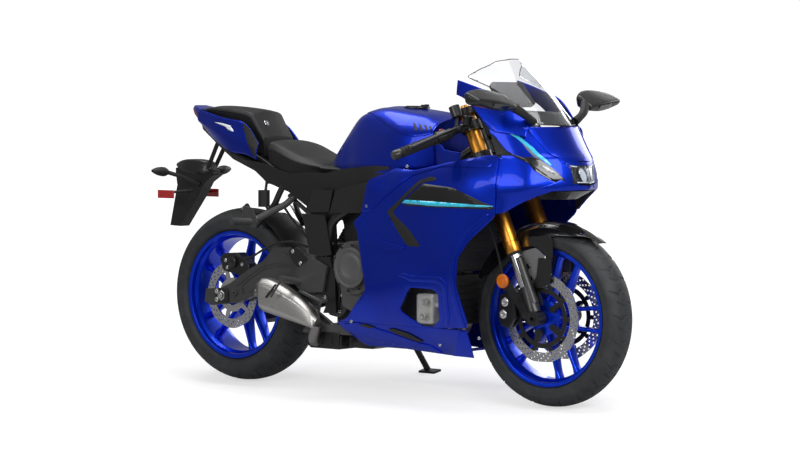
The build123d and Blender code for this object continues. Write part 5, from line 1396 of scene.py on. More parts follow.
# %% [markdown]
# ## Marks and layers on the fairing
# Decals are thin films that follow the panel they lie on, so they are cut from the same surfaces and
# lifted by a fraction of a millimetre. The raised layers of the fairing are cut the same way, lifted
# by two or three millimetres, and their bevelled rims catch the light as the real folds do.

# %% Layers of the side
SHOULDER = [(720, 640), (760, 640), (952, 768), (1082, 800), (1290, 800), (1304, 812), (1250, 832),
            (1108, 812), (952, 784), (862, 790), (764, 742), (744, 690)]
ARROW = [(846, 644), (880, 668), (990, 752), (1040, 766), (1076, 762), (1060, 752), (1002, 744), (918, 680),
         (872, 640), (958, 584), (1012, 530), (950, 530), (900, 578)]
SCOOP = [(744, 538), (800, 552), (884, 536), (948, 526), (930, 516), (850, 512)]
ARCH_BAND = [(1300, 636), (1214, 572), (1168, 498), (1160, 452), (1160, 389), (1172, 317), (1182, 262),
             (1160, 262), (1146, 320), (1136, 400), (1142, 470), (1168, 540), (1220, 600), (1300, 652)]
PATCH = [(928, 681), (1008, 742), (1060, 738), (1150, 731), (1216, 708), (1270, 687), (1318, 671),
         (1318, 662), (926, 666)]
STRIPE = [(916, 674), (932, 686), (1070, 683), (1200, 679), (1319, 674), (1319, 672.5), (1280, 669.5),
          (1070, 668)]
RIDGE = [(905, 424), (930, 424), (962, 411), (1090, 412), (1108, 398), (1100, 290), (1085, 262),
         (1100, 262), (1120, 300), (1126, 410), (1100, 432), (960, 432), (925, 440)]
BELLY_STRIP = [(612, 246), (687, 256), (828, 226), (947, 196), (983, 192), (1030, 166), (877, 176),
               (701, 192), (640, 214)]
SLOT_REAR = [(685, 249), (720, 253), (765, 244), (740, 238)]
SLOT_FRONT = [(820, 240), (850, 244), (915, 229), (963, 203), (940, 202), (844, 228)]
LAYERS = (  # name, outline, finish, thickness, lift, corner radius, bevel, step of the flat grid
    ("side_shoulder", SHOULDER, BLUE, 3.0, 2.4, 12, 1.6, 13),
    ("arrow_duct", ARROW, MATT_BLACK, 2.0, 1.1, 4, 0.6, 13),
    ("side_scoop", SCOOP, BLUE, 5.0, 4.6, 10, 3.2, 13),
    ("arch_band", ARCH_BAND, BLUE, 3.0, 2.0, 6, 1.5, 13),
    ("side_patch", PATCH, BLACK_FILM, 0.4, 1.6, 5, 0, 13),
    ("side_stripe", STRIPE, CYAN, 0.4, 2.3, 0.8, 0, 12),
    ("window_rim", RIDGE, BLUE, 3.0, 2.2, 6, 1.6, 13),
    ("belly_strip", BELLY_STRIP, BLUE, 3.0, 3.0, 5, 1.6, 13),
    ("belly_slot_1", SLOT_REAR, MATT_BLACK, 2.0, 3.8, 2, 0.3, 8),
    ("belly_slot_2", SLOT_FRONT, MATT_BLACK, 2.0, 3.8, 2, 0.3, 8),
)
for name, line, finish, thickness, lift, radius, bevel, step in LAYERS:
    side_pieces(name, line, finish, thickness, lift, radius, bevel, step=step)
print("side layers done")

# %% Marks and folds of the nose
NOSE_STRIPE = [(1.0, 0.06), (0.985, 0.125), (0.95, 0.198), (0.849, 0.256), (0.7, 0.281), (0.56, 0.3),
               (0.556, 0.286), (0.64, 0.258), (0.74, 0.24), (0.84, 0.222), (0.925, 0.175), (0.975, 0.11),
               (0.99, 0.06)]
NOSE_SHADOW = [(0.925, 0.19), (0.84, 0.22), (0.74, 0.238), (0.64, 0.255), (0.575, 0.268), (0.585, 0.246),
               (0.7, 0.224), (0.84, 0.2)]
SIDE_LAMP = [(0.7, 0.215), (0.588, 0.269), (0.487, 0.312), (0.425, 0.33), (0.44, 0.262), (0.521, 0.205),
             (0.6, 0.16), (0.68, 0.15)]
LAMP_GLOW = [(0.56, 0.255), (0.5, 0.29), (0.47, 0.3), (0.505, 0.262), (0.555, 0.225)]
FOLD = [(1.0, 0.33), (1.0, 0.4), (0.8, 0.37), (0.66, 0.385), (0.64, 0.37), (0.8, 0.335)]
UPPER_LIP = [(0.44, 0.3), (0.4, 0.39), (0.4, 0.41), (0.36, 0.41), (0.33, 0.3), (0.24, 0.1), (0.28, 0.08),
             (0.37, 0.2)]


def on_nose(name, shares, finish, lift, thickness, radius, bevel, step=0.013):
    """The same region of the front's surface on the right and on the left."""
    for side, word in SIDES:
        line = [(u, v if side < 0 else 1 - v) for u, v in shares]
        panel(f"{name}_{word}", nose_panel(line, lift, radius, step), finish, thickness, bevel)


on_nose("nose_stripe", NOSE_STRIPE, CYAN, 0.6, 0.3, 0.004, 0)
on_nose("nose_shadow", NOSE_SHADOW, GREY_FILM, 0.6, 0.3, 0.004, 0)
on_nose("nose_side_lamp", SIDE_LAMP, GLOSS_BLACK, 1.2, 1.6, 0.006, 0.5)
on_nose("nose_lamp_glow", LAMP_GLOW, PALE_PANE, 2.2, 0.8, 0.004, 0.3)
on_nose("nose_fold", FOLD, BLUE, 2.6, 3.0, 0.01, 2.0)
on_nose("beak_edge", UPPER_LIP, BLUE, 2.0, 3.0, 0.006, 1.5)
PANE = [(0.6, 0.385), (0.565, 0.415), (0.555, 0.475), (0.555, 0.525), (0.565, 0.585), (0.6, 0.615),
        (0.41, 0.6), (0.405, 0.5), (0.41, 0.4)]
panel("headlamp_glass", nose_panel(PANE, 2.2, 0.01), CLEAR_PANE, 1.2, 0.3)
BROW = [(0.63, 0.375), (0.6, 0.415), (0.585, 0.5), (0.6, 0.585), (0.63, 0.625), (0.6, 0.64), (0.56, 0.585),
        (0.555, 0.5), (0.56, 0.415), (0.6, 0.36)]
panel("headlamp_brow", nose_panel(BROW, 1.8, 0.006), BLUE, 4.0, 1.6)
print("nose marks done")

# %% Headlamp's inside, and a painted highlight on its glass
LENS_U, LENS_V = 0.475, 0.458
MM_OF_U, MM_OF_V = 283, 780  # how many millimetres the whole of u and of v are near the lamp
LAMP_BAR = [(0.412, 0.405), (0.412, 0.49), (0.422, 0.49), (0.424, 0.405)]
# The glint is a painted highlight: a small white pane behind the glass, near its top edge, drawn where a
# reflection shows.
LAMP_PAINTED_GLINT = [(0.56, 0.402), (0.552, 0.44), (0.54, 0.44), (0.545, 0.405)]


def lens_line(radius):
    """A circle on the front's surface round the lens's middle, as shares."""
    return [(LENS_U + radius / MM_OF_U * math.cos(t),
             LENS_V + radius / MM_OF_V * math.sin(t)) for t in circle_turns(20)]


on_nose("lamp_ring", lens_line(17), CHROME, -0.4, 1.2, 0.0005, 0.3, 0.006)
on_nose("lamp_lens", lens_line(13.5), LED_WHITE, 0.4, 1.2, 0.0005, 0.3, 0.006)
on_nose("lamp_bar", LAMP_BAR, LED_WHITE, 0.2, 1.0, 0.002, 0.2, 0.008)
on_nose("lamp_painted_glint", LAMP_PAINTED_GLINT, LED_WHITE, 0.2, 1.0, 0.002, 0.2, 0.008)
print("headlamp done")

# %% [markdown]
# ## Fork legs
# An upside-down fork: the wide gold outer tubes are above, clamped in the two yokes, and the bright
# inner tubes slide up into them from the axle lugs. A dust seal closes the lower end of each outer tube.

# %% Fork tubes, seals and caps
RAKE = math.radians(23.7)
FORK_Y, FORK_LOW = 98.0, 300


def fork_point(h, side):
    return np.array([WHEELBASE - (h - FORK_LOW) * math.tan(RAKE), side * FORK_Y, h])


def fork_length(low, high):
    return (high - low) / math.cos(RAKE)


for side, word in SIDES:
    span, reach = fork_length(513, 990), fork_length(344, 513)
    outer = [(0, 24.5), (1.5, 26), (3, 26.6), (34, 26.6), (35, 25.2), (38, 25.2), (39, 26.9), (120, 26.9),
             (span - 60, 26.9), (span - 58, 26.2), (span - 3, 26.2), (span, 24.5)]
    guard = [(0, 14), (2, 18.5), (reach * 0.5, 18.5), (reach * 0.88, 18.0), (reach * 0.91, 13)]
    seal = [(0, 21.2), (1, 24.5), (4, 25.5), (9.5, 25.8)]
    cap = [(0, 22), (4, 22), (5, 20.5), (9, 20.5), (10, 12), (16, 12), (17, 10)]
    for name, low, high, ahead, line, sides, finish in (
            ("fork_outer", 513, 990, 0.0, outer, 56, GOLD),
            ("fork_inner", 344, 513, 0.0, [(0, 20.4), (reach * 0.5, 20.4), (reach + 4, 20.4)], 48, CHROME),
            ("fork_guard", 346, 500, 9.0, guard, 40, SATIN_BLACK),
            ("dust_seal", 505, 515, 0.0, seal, 40, RUBBER),
            ("fork_cap", 988, 1000, 0.0, cap, 12, GOLD)):
        stands = "fork_tubes" if name == "fork_outer" and side < 0 else ()
        ends = [fork_point(h, side) + [ahead, 0.0, 0.0] for h in (low, high)]
        piece(f"{name}_{word}", *turned(*ends, line, sides), finish, "steering", stands, 30)
print("fork legs done")

# %% [markdown]
# ## Signals and silencer
# Both have smooth outsides. The signals are small teardrops on flexible stalks, dark behind and orange in
# front. The silencer is a folded steel cover with an end cap and a dark slot in its upper side.

# %% Rear signals
STALK_STEPS = 16
SIGNAL_BODY = [(0, 6), (4, 12), (16, 17), (30, 17.5), (46, 15.5), (62, 11), (74, 5.5), (78, 2)]
SIGNAL_LENS = [(0, 3), (6, 10.5), (22, 13), (38, 10.5), (50, 4)]
for side, word in SIDES:
    root, tip = np.array([-224, side * 27, 712]), np.array([-279, side * 138, 757])
    path = through([root, (root + tip) / 2 + [0, 0, 3], tip], STALK_STEPS)
    radius = np.interp(np.linspace(0, 1, STALK_STEPS), [0, 0.5, 1], [9, 7, 8])
    piece(f"signal_stalk_{word}", *tube(path, radius), MATT_BLACK,
          stands_for="rear_signals" if side < 0 else ())
    body = turned((-279, side * 134, 757), (-286.5, side * 212, 764), SIGNAL_BODY, 28)
    piece(f"signal_body_{word}", *body, MATT_BLACK, angle=50)
    front = turned((-286, side * 146, 759), (-292, side * 202, 764), SIGNAL_LENS, 28)
    piece(f"signal_lens_{word}", *front, AMBER, angle=50)
print("signals done")

# %% Silencer's skin
SILENCER = (  # upper x and z, lower x and z, y of the middle, half width, width of the corner's flat
    (505, 258, 496, 222, -182, 16, 9),
    (440, 325, 470, 229, -188, 33, 18),
    (311, 387, 300, 268, -197, 40, 22),
    (250, 386, 280, 274, -201, 36, 19),
)


def silencer_ring(xt, zt, xb, zb, y, half, flat, shrink, corner):
    """One eight-sided section of the silencer with rounded corners."""
    top, low = np.array([xt, zt], float), np.array([xb, zb], float)
    down = (low - top) / np.linalg.norm(low - top)
    top, low = top + down * shrink, low - down * shrink
    high, wide = np.linalg.norm(low - top) / 2, half - shrink
    quarter = [(high, wide - flat), (high - flat, wide)]
    half_line = [(-h, w) for h, w in quarter] + [(h, w) for h, w in reversed(quarter)]
    corners = half_line + [(-h, -w) for h, w in half_line]
    corners = np.roll(corners, 1, 0)
    corners = rounded(corners, corner, 4)
    spot = (top + low) / 2 + corners[:, :1] * down
    return np.column_stack([spot[:, 0], y + corners[:, 1], spot[:, 1]])


def silencer_at(share, shrink=0.0):
    """The section at a share of the way from the pipe to the outlet, by a spline through the four."""
    values = spline(np.arange(4), np.array(SILENCER, float), np.atleast_1d(share * 3.0))[0]
    return silencer_ring(*values, shrink, min(9.0, values[6] * 0.5))


piece("silencer_skin", *shell([silencer_at(s) for s in np.linspace(0.0, 0.86, 30)]), BRUSHED,
      stands_for="silencer", angle=38)
CAP_STEPS = ((0.862, 1.2), (0.868, -0.4), (0.99, -0.2), (1.0, 3.0), (1.0, 9.0), (0.985, 12.0))
piece("silencer_cap", *shell([silencer_at(s, shrink) for s, shrink in CAP_STEPS]), BRUSHED_DARK, angle=38)
slot = plate(rounded([(360, 376), (354, 378), (304, 327), (309, 324)], 2), [], -241.5, -236.0, 8)
piece("silencer_slot", *slot, MATT_BLACK)
outlet = turned((262, -198, 338), (232, -202, 344), [(0, 21), (28, 21), (28, 17), (4, 17)], 32)
piece("silencer_outlet", *outlet, BRUSHED_DARK, angle=35)
print("silencer done")

# %% [markdown]
# ## Closing the joints between panels
# Panels of a real fairing overlap by a centimetre, so that no light comes through. The tank's lower edge
# carries a skirt that goes down behind the side covers, the side fairing has a tongue under the beak,
# and dark liners close the inside of the nose.

# %% Skirts, tongues and liners
edge_line = through(tank_rows, 60)[6:, -1]
drop_to = np.interp(edge_line[:, 0], [520, 700, 860, 992], [-30, -34, -22, -12])
low_line = edge_line + np.column_stack([0 * drop_to, 0 * drop_to - 5.0, drop_to])
ahead = [[[1000, 141, 898], [1000, 141, 866], [1000, 142, 828], [1000, 146, 792]],
         [[1034, 141, 856], [1034, 143, 842], [1034, 148, 818], [1034, 152, 790]],
         [[1076, 150, 850], [1076, 154, 836], [1076, 160, 816], [1076, 160, 792]],
         [[1120, 158, 846], [1120, 162, 834], [1120, 168, 818], [1120, 166, 796]]]
skirt = np.concatenate([ruled(edge_line + [0, -1.5, 3], low_line, 4), ahead]) * [1, -1, 1]
pair("tank_skirt", sheet(skirt, (750, 0, 800)), BLUE, thickness=2.5, bevel=0.6)

BEHIND = 4.6  # the tongue's depth under the panels
tongue = []
for z in np.linspace(660, 834, 24):
    on_sheet = on_side([[1285.0, z], [1303.0, z], [1318.0, z]], -BEHIND)
    u = np.full(3, nose_height(z))
    under_nose = lifted(NOSE_GRID, u, np.array([0.012, 0.03, 0.05]), NOSE_INSIDE, -BEHIND)
    tongue.append(np.vstack([on_sheet, under_nose]))
pair("side_tongue", sheet(np.array(tongue), (1250, 0, 750)), BLUE, thickness=1.5)
SLOT_LINE = [(1500, 742), (1470, 758), (1430, 790), (1380, 826), (1322, 836), (1322, 850), (1400, 850),
             (1440, 815), (1475, 790), (1500, 760)]
for side, word in SIDES:
    for name, line, lift in (("beak_liner", BEAK, -5.2), ("lamp_slot_liner", SLOT_LINE, -5.0)):
        liner = nose_panel(front_shares(NOSE_GRID, line, side), lift, 0.004, 0.02)
        panel(f"{name}_{word}", liner, MATT_BLACK, 1.0, 0)
print("joints closed")

# %% [markdown]
# ## Flat trim, brackets and bolts
# Covers, heel plates and brackets are flat plates with rounded corners and broken edges. Bolts come in a
# few sizes: a low cylinder with a rounded rim and a hexagonal socket, repeated from lists of places.

# %% Slabs and bolts
def slab(name, outline, y0, y1, finish, radius, bevel, sides=(-1,), body="chassis", step=16.0, holes=()):
    """A flat plate between two distances from the bike's middle, on the right or on both sides."""
    part = plate(rounded(outline, radius), list(holes), -max(y0, y1), -min(y0, y1), step)
    for side in sides:
        ending = "" if len(sides) == 1 else "_right" if side < 0 else "_left"
        soften(piece(name + ending, *(part if side < 0 else flipped(part)), finish, body), bevel)


def bolt(at, direction, r, h):
    """A socket-head bolt with its face at height h over the point, looking along the direction."""
    line = [(-1.0, r * 0.98), (h * 0.6, r), (h * 0.9, r * 0.9), (h, r * 0.8), (h, r * 0.5),
            (h * 0.35, r * 0.46), (h * 0.3, r * 0.1)]
    return turned(at, np.asarray(at, float) + direction, line, 12)


def bolts(name, places, radius, height, finish, body="chassis"):
    piece(name, *joined(*[bolt(p, OUT, radius, height) for p in places]), finish, body, angle=30)


OUT = (0, -1, 0)
EACH = (-1, 1)
FRAME_SHIELD = [(421, 640), (440, 700), (550, 702), (532, 647), (541, 616), (550, 480), (473, 462),
                (428, 600)]
FRAME_RIB = [(452, 640), (505, 640), (500, 520), (480, 500), (462, 600)]
FRAME_BACKING = [(430, 700), (600, 706), (690, 640), (640, 560), (600, 480), (560, 470), (550, 600),
                 (470, 620)]
PIVOT_PLATE = [(486, 456), (541, 468), (567, 437), (576, 361), (566, 300), (520, 286), (500, 325),
               (482, 382)]
PIVOT_LOWER = [(500, 332), (578, 338), (596, 292), (560, 262), (508, 270), (494, 300)]
HEEL_GUARD = [(330, 494), (379, 505), (422, 470), (452, 430), (474, 398), (442, 384), (392, 420),
              (348, 455)]
REST_BRACKET = [(380, 402), (424, 396), (491, 368), (534, 345), (529, 322), (440, 330), (400, 358)]
REST_HOLE = rounded([(430, 372), (478, 358), (474, 344), (436, 350)], 4)
FORK_BRACKET = [(1299, 512), (1372, 534), (1410, 505), (1408, 410), (1362, 402), (1318, 447)]
slab("frame_shield", FRAME_SHIELD, 128, 136, SATIN_BLACK, 10, 2.2, EACH)
slab("frame_rib", FRAME_RIB, 136, 139, SATIN_BLACK, 8, 1.8, EACH)
slab("frame_backing", FRAME_BACKING, 96, 100, MATT_BLACK, 8, 0.8, EACH)
slab("pivot_plate", PIVOT_PLATE, 138, 146, DARK_GREY, 9, 2.2, EACH)
slab("pivot_lower", PIVOT_LOWER, 122, 132, ENGINE_GREY, 8, 2.5, EACH)
slab("heel_guard", HEEL_GUARD, 146, 150, SATIN_BLACK, 8, 1.2)
slab("rest_bracket", REST_BRACKET, 150, 158, DARK_GREY, 8, 1.8, holes=[REST_HOLE])
FRAME_BOLTS = [(503, -136, 486), (524, -146, 403), (392, -150, 447), (356, -150, 488), (410, -158, 378),
               (515, -158, 334), (508, -146, 452), (560, -132, 285), (512, -132, 290)]
SIDE_BOLTS = [(748, 660), (914, 797), (660, 258), (1030, 196), (1230, 232)]
bolts("frame_bolts", FRAME_BOLTS, 7.5, 3.5, BRIGHT_STEEL)
bolts("pivot_bolt", [(524, -146, 403)], 17, 5, BRIGHT_STEEL)
bolts("fairing_bolts", on_side(SIDE_BOLTS, 0.6), 6.0, 2.2, BRIGHT_STEEL)
bolts("caliper_bolts", [(1304, -150, 353), (1297, -150, 313)], 15.0, 6.0, BRIGHT_STEEL, "steering")
slab("fender_bracket", FORK_BRACKET, 71, 75, PALE_GREY, 8, 1.4, EACH, "steering")
bolts("fender_bolts", [(1344, -75, 471), (1358, -75, 430)], 9.0, 5.0, GLOSS_BLACK, "steering")
print("slabs and bolts done")

# %% Clutch cover's face
CLUTCH_X, CLUTCH_Y, CLUTCH_Z = 670, -206, 444
COVER_BOLT_R = 80
COVER = [(-3.0, 70), (0.5, 70), (2.5, 69), (3.0, 66), (3.0, 62), (1.2, 60), (0.8, 56), (1.0, 52), (2.6, 50),
         (3.4, 38), (3.4, 34), (2.2, 32), (2.0, 6)]
cover = turned((CLUTCH_X, CLUTCH_Y, CLUTCH_Z), (CLUTCH_X, CLUTCH_Y - 1, CLUTCH_Z), COVER, 72)
piece("clutch_face", *cover, ENGINE_GREY, angle=35)
bolts("clutch_face_bolts", [(CLUTCH_X + COVER_BOLT_R * math.cos(a), CLUTCH_Y + 5,
                             CLUTCH_Z + COVER_BOLT_R * math.sin(a))
                            for a in circle_turns(10) + 0.2], 5.5, 4.5, SATIN_BLACK)
print("engine face done")

# %% [markdown]
# ## Controls
# On the right bar: a ribbed grip, a switch box with the red stop switch, and the brake's fluid pot over
# the bar. On the left the same with the clutch lever's perch.

# %% Grips, switch boxes and pots
BAR_ROOT, BAR_TIP = np.array([1122.0, 122.0, 934.0]), np.array([1008.0, 352.0, 842.0])
KEY = [(-6, 7), (3, 7), (4.5, 5.5), (5, 3)]
POT = [(-12, 13), (-10, 16), (12, 16), (13, 18), (20, 18), (22, 16), (22, 4)]
for side, word in SIDES:
    root, tip = BAR_ROOT * [1, side, 1], BAR_TIP * [1, side, 1]
    span = float(np.linalg.norm(tip - root))
    rib = [(span * 0.46, 16.2)]
    for k in range(16):
        at = span * (0.47 + 0.029 * k)
        rib += [(at, 16.6), (at + 0.6, 17.4), (at + span * 0.018, 17.4), (at + span * 0.018 + 0.6, 16.6)]
    rib += [(span * 0.95, 17.0), (span * 0.955, 15)]
    end = [(span * s, r) for s, r in ((0.955, 12), (0.96, 15.5), (1.0, 15.8), (1.012, 14), (1.014, 6))]
    box = [(span * s, r) for s, r in ((0.3, 13), (0.31, 19), (0.33, 20.5), (0.42, 20.5), (0.44, 19),
                                      (0.455, 15))]
    spot = root + (tip - root) * 0.375 + [-4, 0, 20.0]
    pot = root + (tip - root) * 0.12 + [34, 0, 26.0]
    for name, start, stop, line, sides, finish, angle in (
            ("grip_ribs", root, tip, rib, 28, RUBBER, 25),
            ("bar_end", root, tip, end, 28, SATIN_BLACK, 35),
            ("switch_box", root, tip, box, 20, MATT_BLACK, 35),
            ("switch_key", spot, spot + [-0.25, 0, 1], KEY, 20,
             RED_MOULDED if side < 0 else MATT_BLACK, 35),
            ("fluid_pot", pot, pot + [0.1, 0, 1], POT, 28, SATIN_BLACK, 35)):
        piece(f"{name}_{word}", *turned(start, stop, line, sides), finish, "steering", angle=angle)
print("controls done")

# %% [markdown]
# ## Smaller shapes on curved surfaces
# The tank and the tail carry creases, slots and a flash. Each is a region of the part's own surface, given
# in shares of its two directions, so it bends as the part does.

# %% Regions of the tank and the tail
tank_side = through(tank_rows, 160) * [1, -1, 1]
TANK_SHOULDER = [(0.34, 0.1), (0.45, 0.34), (0.58, 0.52), (0.712, 0.64), (0.877, 0.69), (0.985, 0.7),
                 (0.985, 0.42), (0.88, 0.3), (0.62, 0.24), (0.45, 0.14)]
TANK_SLOTS = (
    [(0.813, 0.5), (0.834, 0.5), (0.88, 0.62), (0.858, 0.62)],
    [(0.856, 0.505), (0.877, 0.505), (0.924, 0.63), (0.902, 0.625)],
    [(0.9, 0.52), (0.92, 0.52), (0.962, 0.635), (0.943, 0.635)],
    [(0.942, 0.54), (0.96, 0.54), (0.983, 0.63), (0.976, 0.64)],
)
FLASH = [(0.627, 0.25), (0.5, 0.19), (0.4, 0.195), (0.335, 0.365), (0.42, 0.345), (0.46, 0.27)]
INNER = [(0.002, 0.01), (0.25, 0.01), (0.232, 0.09), (0.12, 0.55), (0.004, 0.96)]
LEDGE = [(0.25, 0.02), (0.98, 0.02), (0.985, 0.1), (0.6, 0.14), (0.3, 0.14), (0.235, 0.1)]
REGIONS = [("tank_shoulder", tank_side, TANK_INSIDE, TANK_SHOULDER, BLUE, 2.2, 3.0, 1.8, 0.03, 0.03)]
REGIONS += [(f"tank_slot_{k + 1}", tank_side, TANK_INSIDE, line, MATT_BLACK, 3.0, 1.0, 0.2, 0.004, 0.015)
            for k, line in enumerate(TANK_SLOTS)]
REGIONS += [("tail_flash", flank, TAIL_INSIDE, FLASH, WHITE_FILM, 0.7, 0.3, 0, 0.006, 0.03),
            ("tail_inner", flank, TAIL_INSIDE, INNER, MATT_BLACK, 1.4, 2.0, 0.8, 0.01, 0.03),
            ("tail_ledge", flank, TAIL_INSIDE, LEDGE, BLUE, 2.0, 3.0, 1.5, 0.01, 0.03)]
for name, grid, inside, line, finish, lift, thickness, bevel, radius, step in REGIONS:
    pair(name, region(grid, line, inside, lift, radius, step), finish, thickness=thickness, bevel=bevel)
print("tank and tail regions done")

# %% [markdown]
# ## Running gear
# The swingarm's fold and axle adjuster, the plates of the foot rests and the covers round the exhaust are
# pressed or cast plates, so they are slabs. Hoses and bent stays each follow one spline.

# %% Swingarm, caliper and foot rests
ARM_FOLD = [(58, 350), (125, 393), (206, 438), (258, 474), (300, 480), (395, 452), (505, 412), (505, 392),
            (420, 398), (336, 438), (270, 444), (200, 430), (125, 388), (90, 362)]
slab("arm_fold", ARM_FOLD, 133.5, 136.5, DARK_GREY, 8, 1.6)
slab("axle_adjuster", [(-34, 340), (30, 342), (30, 288), (-34, 288)], 133.5, 141, SATIN_BLACK, 6, 1.6)
bolts("axle_nuts", [(0, -147, 315), (-24, -141, 330), (-24, -141, 300)], 9, 4, BRIGHT_STEEL)
washer = turned((0, -141, 315), (0, -146, 315), [(0, 19), (4, 19), (5, 18), (5, 12)], 6)
piece("axle_washer", *washer, BRIGHT_STEEL, angle=30)
PISTON = [(0, 20), (10, 20), (12, 18), (13, 15), (13, 8), (11, 6)]
piece("rear_caliper_piston", *turned((22, -102, 436), (22, -110, 436), PISTON, 32), SATIN_BLACK, angle=35)
bolts("rear_caliper_bolts", [(-16, -102, 440), (66, -102, 428), (-8, -102, 414)], 7, 4, BRIGHT_STEEL)


def hose(name, points, radius, finish, body="chassis"):
    """A hose fixed at both ends, or a bent bar, on one spline through a few points."""
    piece(name, *tube(through(points, 40), radius, 14), finish, body, angle=60)


def hose_pair(name, points, radius, finish, body="chassis"):
    for side, word in SIDES:
        hose(f"{name}_{word}", np.array(points) * [1, side, 1], radius, finish, body)


REAR_HOSE = [(40, -106, 462), (110, -122, 452), (190, -138, 482), (270, -140, 512), (340, -132, 520),
             (400, -122, 505)]
PEG_ARM = [(284, 118, 722), (262, 124, 680), (244, 128, 646), (205, 130, 612), (160, 130, 574)]
PEG_PLATE = [(104, 648), (122, 654), (134, 618), (158, 592), (172, 566), (150, 560), (128, 590)]
POT_HOSE = [(200, -120, 642), (222, -116, 630), (262, -112, 650), (307, -108, 608), (386, -110, 539)]
LINK_PIPE = [(470, -146, 178), (470, -166, 184), (484, -177, 208), (500, -184, 240)]
EXHAUST_SHIELD = [(380, 320), (396, 326), (470, 280), (540, 240), (540, 222), (490, 226), (430, 268)]
COLLECTOR_UPPER = [(392, 206), (424, 230), (520, 238), (640, 238), (694, 228), (694, 205), (420, 203)]
FRONT_HOSE = [(1262, 98, 384), (1252, 99, 440), (1234, 104, 520), (1202, 112, 610), (1164, 112, 690),
              (1128, 108, 780)]
hose("rear_brake_hose", REAR_HOSE, 4.2, RUBBER)
hose_pair("peg_arm", PEG_ARM, 11.5, SATIN_BLACK)
slab("peg_plate", PEG_PLATE, 124, 136, SATIN_BLACK, 4, 1.5, EACH)
slab("peg_blade", [(86, 640), (92, 642), (146, 572), (141, 568)], 128, 134, BRIGHT_STEEL, 1.5, 0.6, EACH)
hose_pair("frame_stay", [(290, 96, 684), (340, 98, 652), (398, 100, 616)], 8, DARK_GREY)
hose("reservoir_hose", POT_HOSE, 4.5, RUBBER)
hose("link_pipe", LINK_PIPE, 21, BRUSHED_DARK)
slab("exhaust_shield", EXHAUST_SHIELD, 132, 142, BRUSHED_DARK, 6, 3.0)
slab("collector_upper", COLLECTOR_UPPER, -96, 146, ENGINE_GREY, 7, 3.0)
slab("sump_cover", [(520, 306), (726, 306), (730, 216), (520, 216)], 60, 99, ENGINE_GREY, 10, 3.0)
for k in range(5):
    x = 440 + 46 * k
    slab(f"collector_rib_{k + 1}", [(x, 160), (x + 8, 160), (x + 8, 204), (x, 204)], 149, 153, SATIN_BLACK,
         2, 1.0, step=20)
hose_pair("front_brake_hose", FRONT_HOSE, 4.2, RUBBER, "steering")

# %% Belly's front points and the canister's bosses
POINT_REAR = [(1150, -201.5, 252), (1130, -193, 222), (1112, -178.5, 192), (1092, -164, 162)]
POINT_FRONT = [(1182, -202, 252), (1188, -195, 222), (1192, -187, 192), (1195, -179, 162)]
point_sheet = ruled(through(POINT_REAR, 20), through(POINT_FRONT, 20), 8)
pair("belly_point", sheet(point_sheet, (1100, 0, 260)), BLUE, thickness=3.0, bevel=0.8)
BOSS = [(0, 12), (4, 12), (5.5, 10.5), (5.5, 7), (4, 6)]
for k, (x, z) in enumerate(((1007, 342), (998, 293))):
    piece(f"canister_boss_{k + 1}", *turned((x, -205, z), (x, -210, z), BOSS, 28), BRUSHED, angle=35)
print("running gear details done")

# %% Plate bracket's hood and key lock
HOOD = (  # x, half width, low and high z
    (-358, 10, 778, 787),
    (-330, 26, 766, 797),
    (-290, 38, 758, 803),
    (-240, 40, 750, 803),
    (-196, 34, 750, 797),
    (-172, 18, 758, 790),
)
hood_rings = []
for x, half, low, high in HOOD:
    corners = [(-half, low), (half, low), (half * 0.7, high), (-half * 0.7, high)]
    corners = rounded(corners, min(9.0, half * 0.4), 4)
    hood_rings.append(np.column_stack([np.full(len(corners), float(x)), corners]))
piece("plate_hood", *shell(through(hood_rings, 31)), SATIN_BLACK, angle=50)
PLATE_NECK = [(-339, 700), (-350, 772), (-186, 776), (-150, 746), (-194, 722), (-233, 668)]
slab("plate_neck", PLATE_NECK, -23, 23, SATIN_BLACK, 8, 3.0)
lock = turned((122, -33, 939), (122.84, -33, 939.54), [(-4, 11), (2, 11), (3, 10), (3, 5), (2, 4.5)], 24)
piece("seat_lock", *lock, CHROME, angle=35)

# %% [markdown]
# ## Mirrors
# Each mirror is a hollow moulding on a short arm, with the glass set into its rear side and a dark pane in
# front. Its rings go outwards along the head, and they shrink at both ends so that the head closes round.

# %% Mirrors
MIRROR_RINGS = np.array([
    [(1400, -205, 1000), (1385, -205, 985), (1335, -205, 1000), (1330, -205, 1030), (1345, -205, 1040)],
    [(1398, -290, 1015), (1385, -290, 985), (1305, -290, 1000), (1295, -290, 1050), (1315, -290, 1060)],
    [(1385, -400, 1025), (1375, -400, 1008), (1330, -400, 1008), (1322, -400, 1040), (1335, -400, 1048)],
], float)
MIRROR_INSIDE = (1350, -300, 1020)
ARM_WAY = [(1392, -116, 950), (1388, -168, 979), (1362, -214, 1009)]
share = np.concatenate([[0, 0.004, 0.02], np.linspace(0.06, 0.94, 26), [0.975, 0.992, 1.0]])
shrink = np.concatenate([[0.55, 0.8, 0.93], np.ones(26), [0.94, 0.8, 0.5]])
dense = spline(np.arange(3), MIRROR_RINGS, share * 2)
middle = dense.mean(1, keepdims=True)
dense = middle + (dense - middle) * shrink[:, None, None]


def set_in(lines, scale, shift):
    """A part of the head's surface, made smaller about its middle and moved."""
    return lines.mean((0, 1)) + (lines - lines.mean((0, 1))) * scale + shift


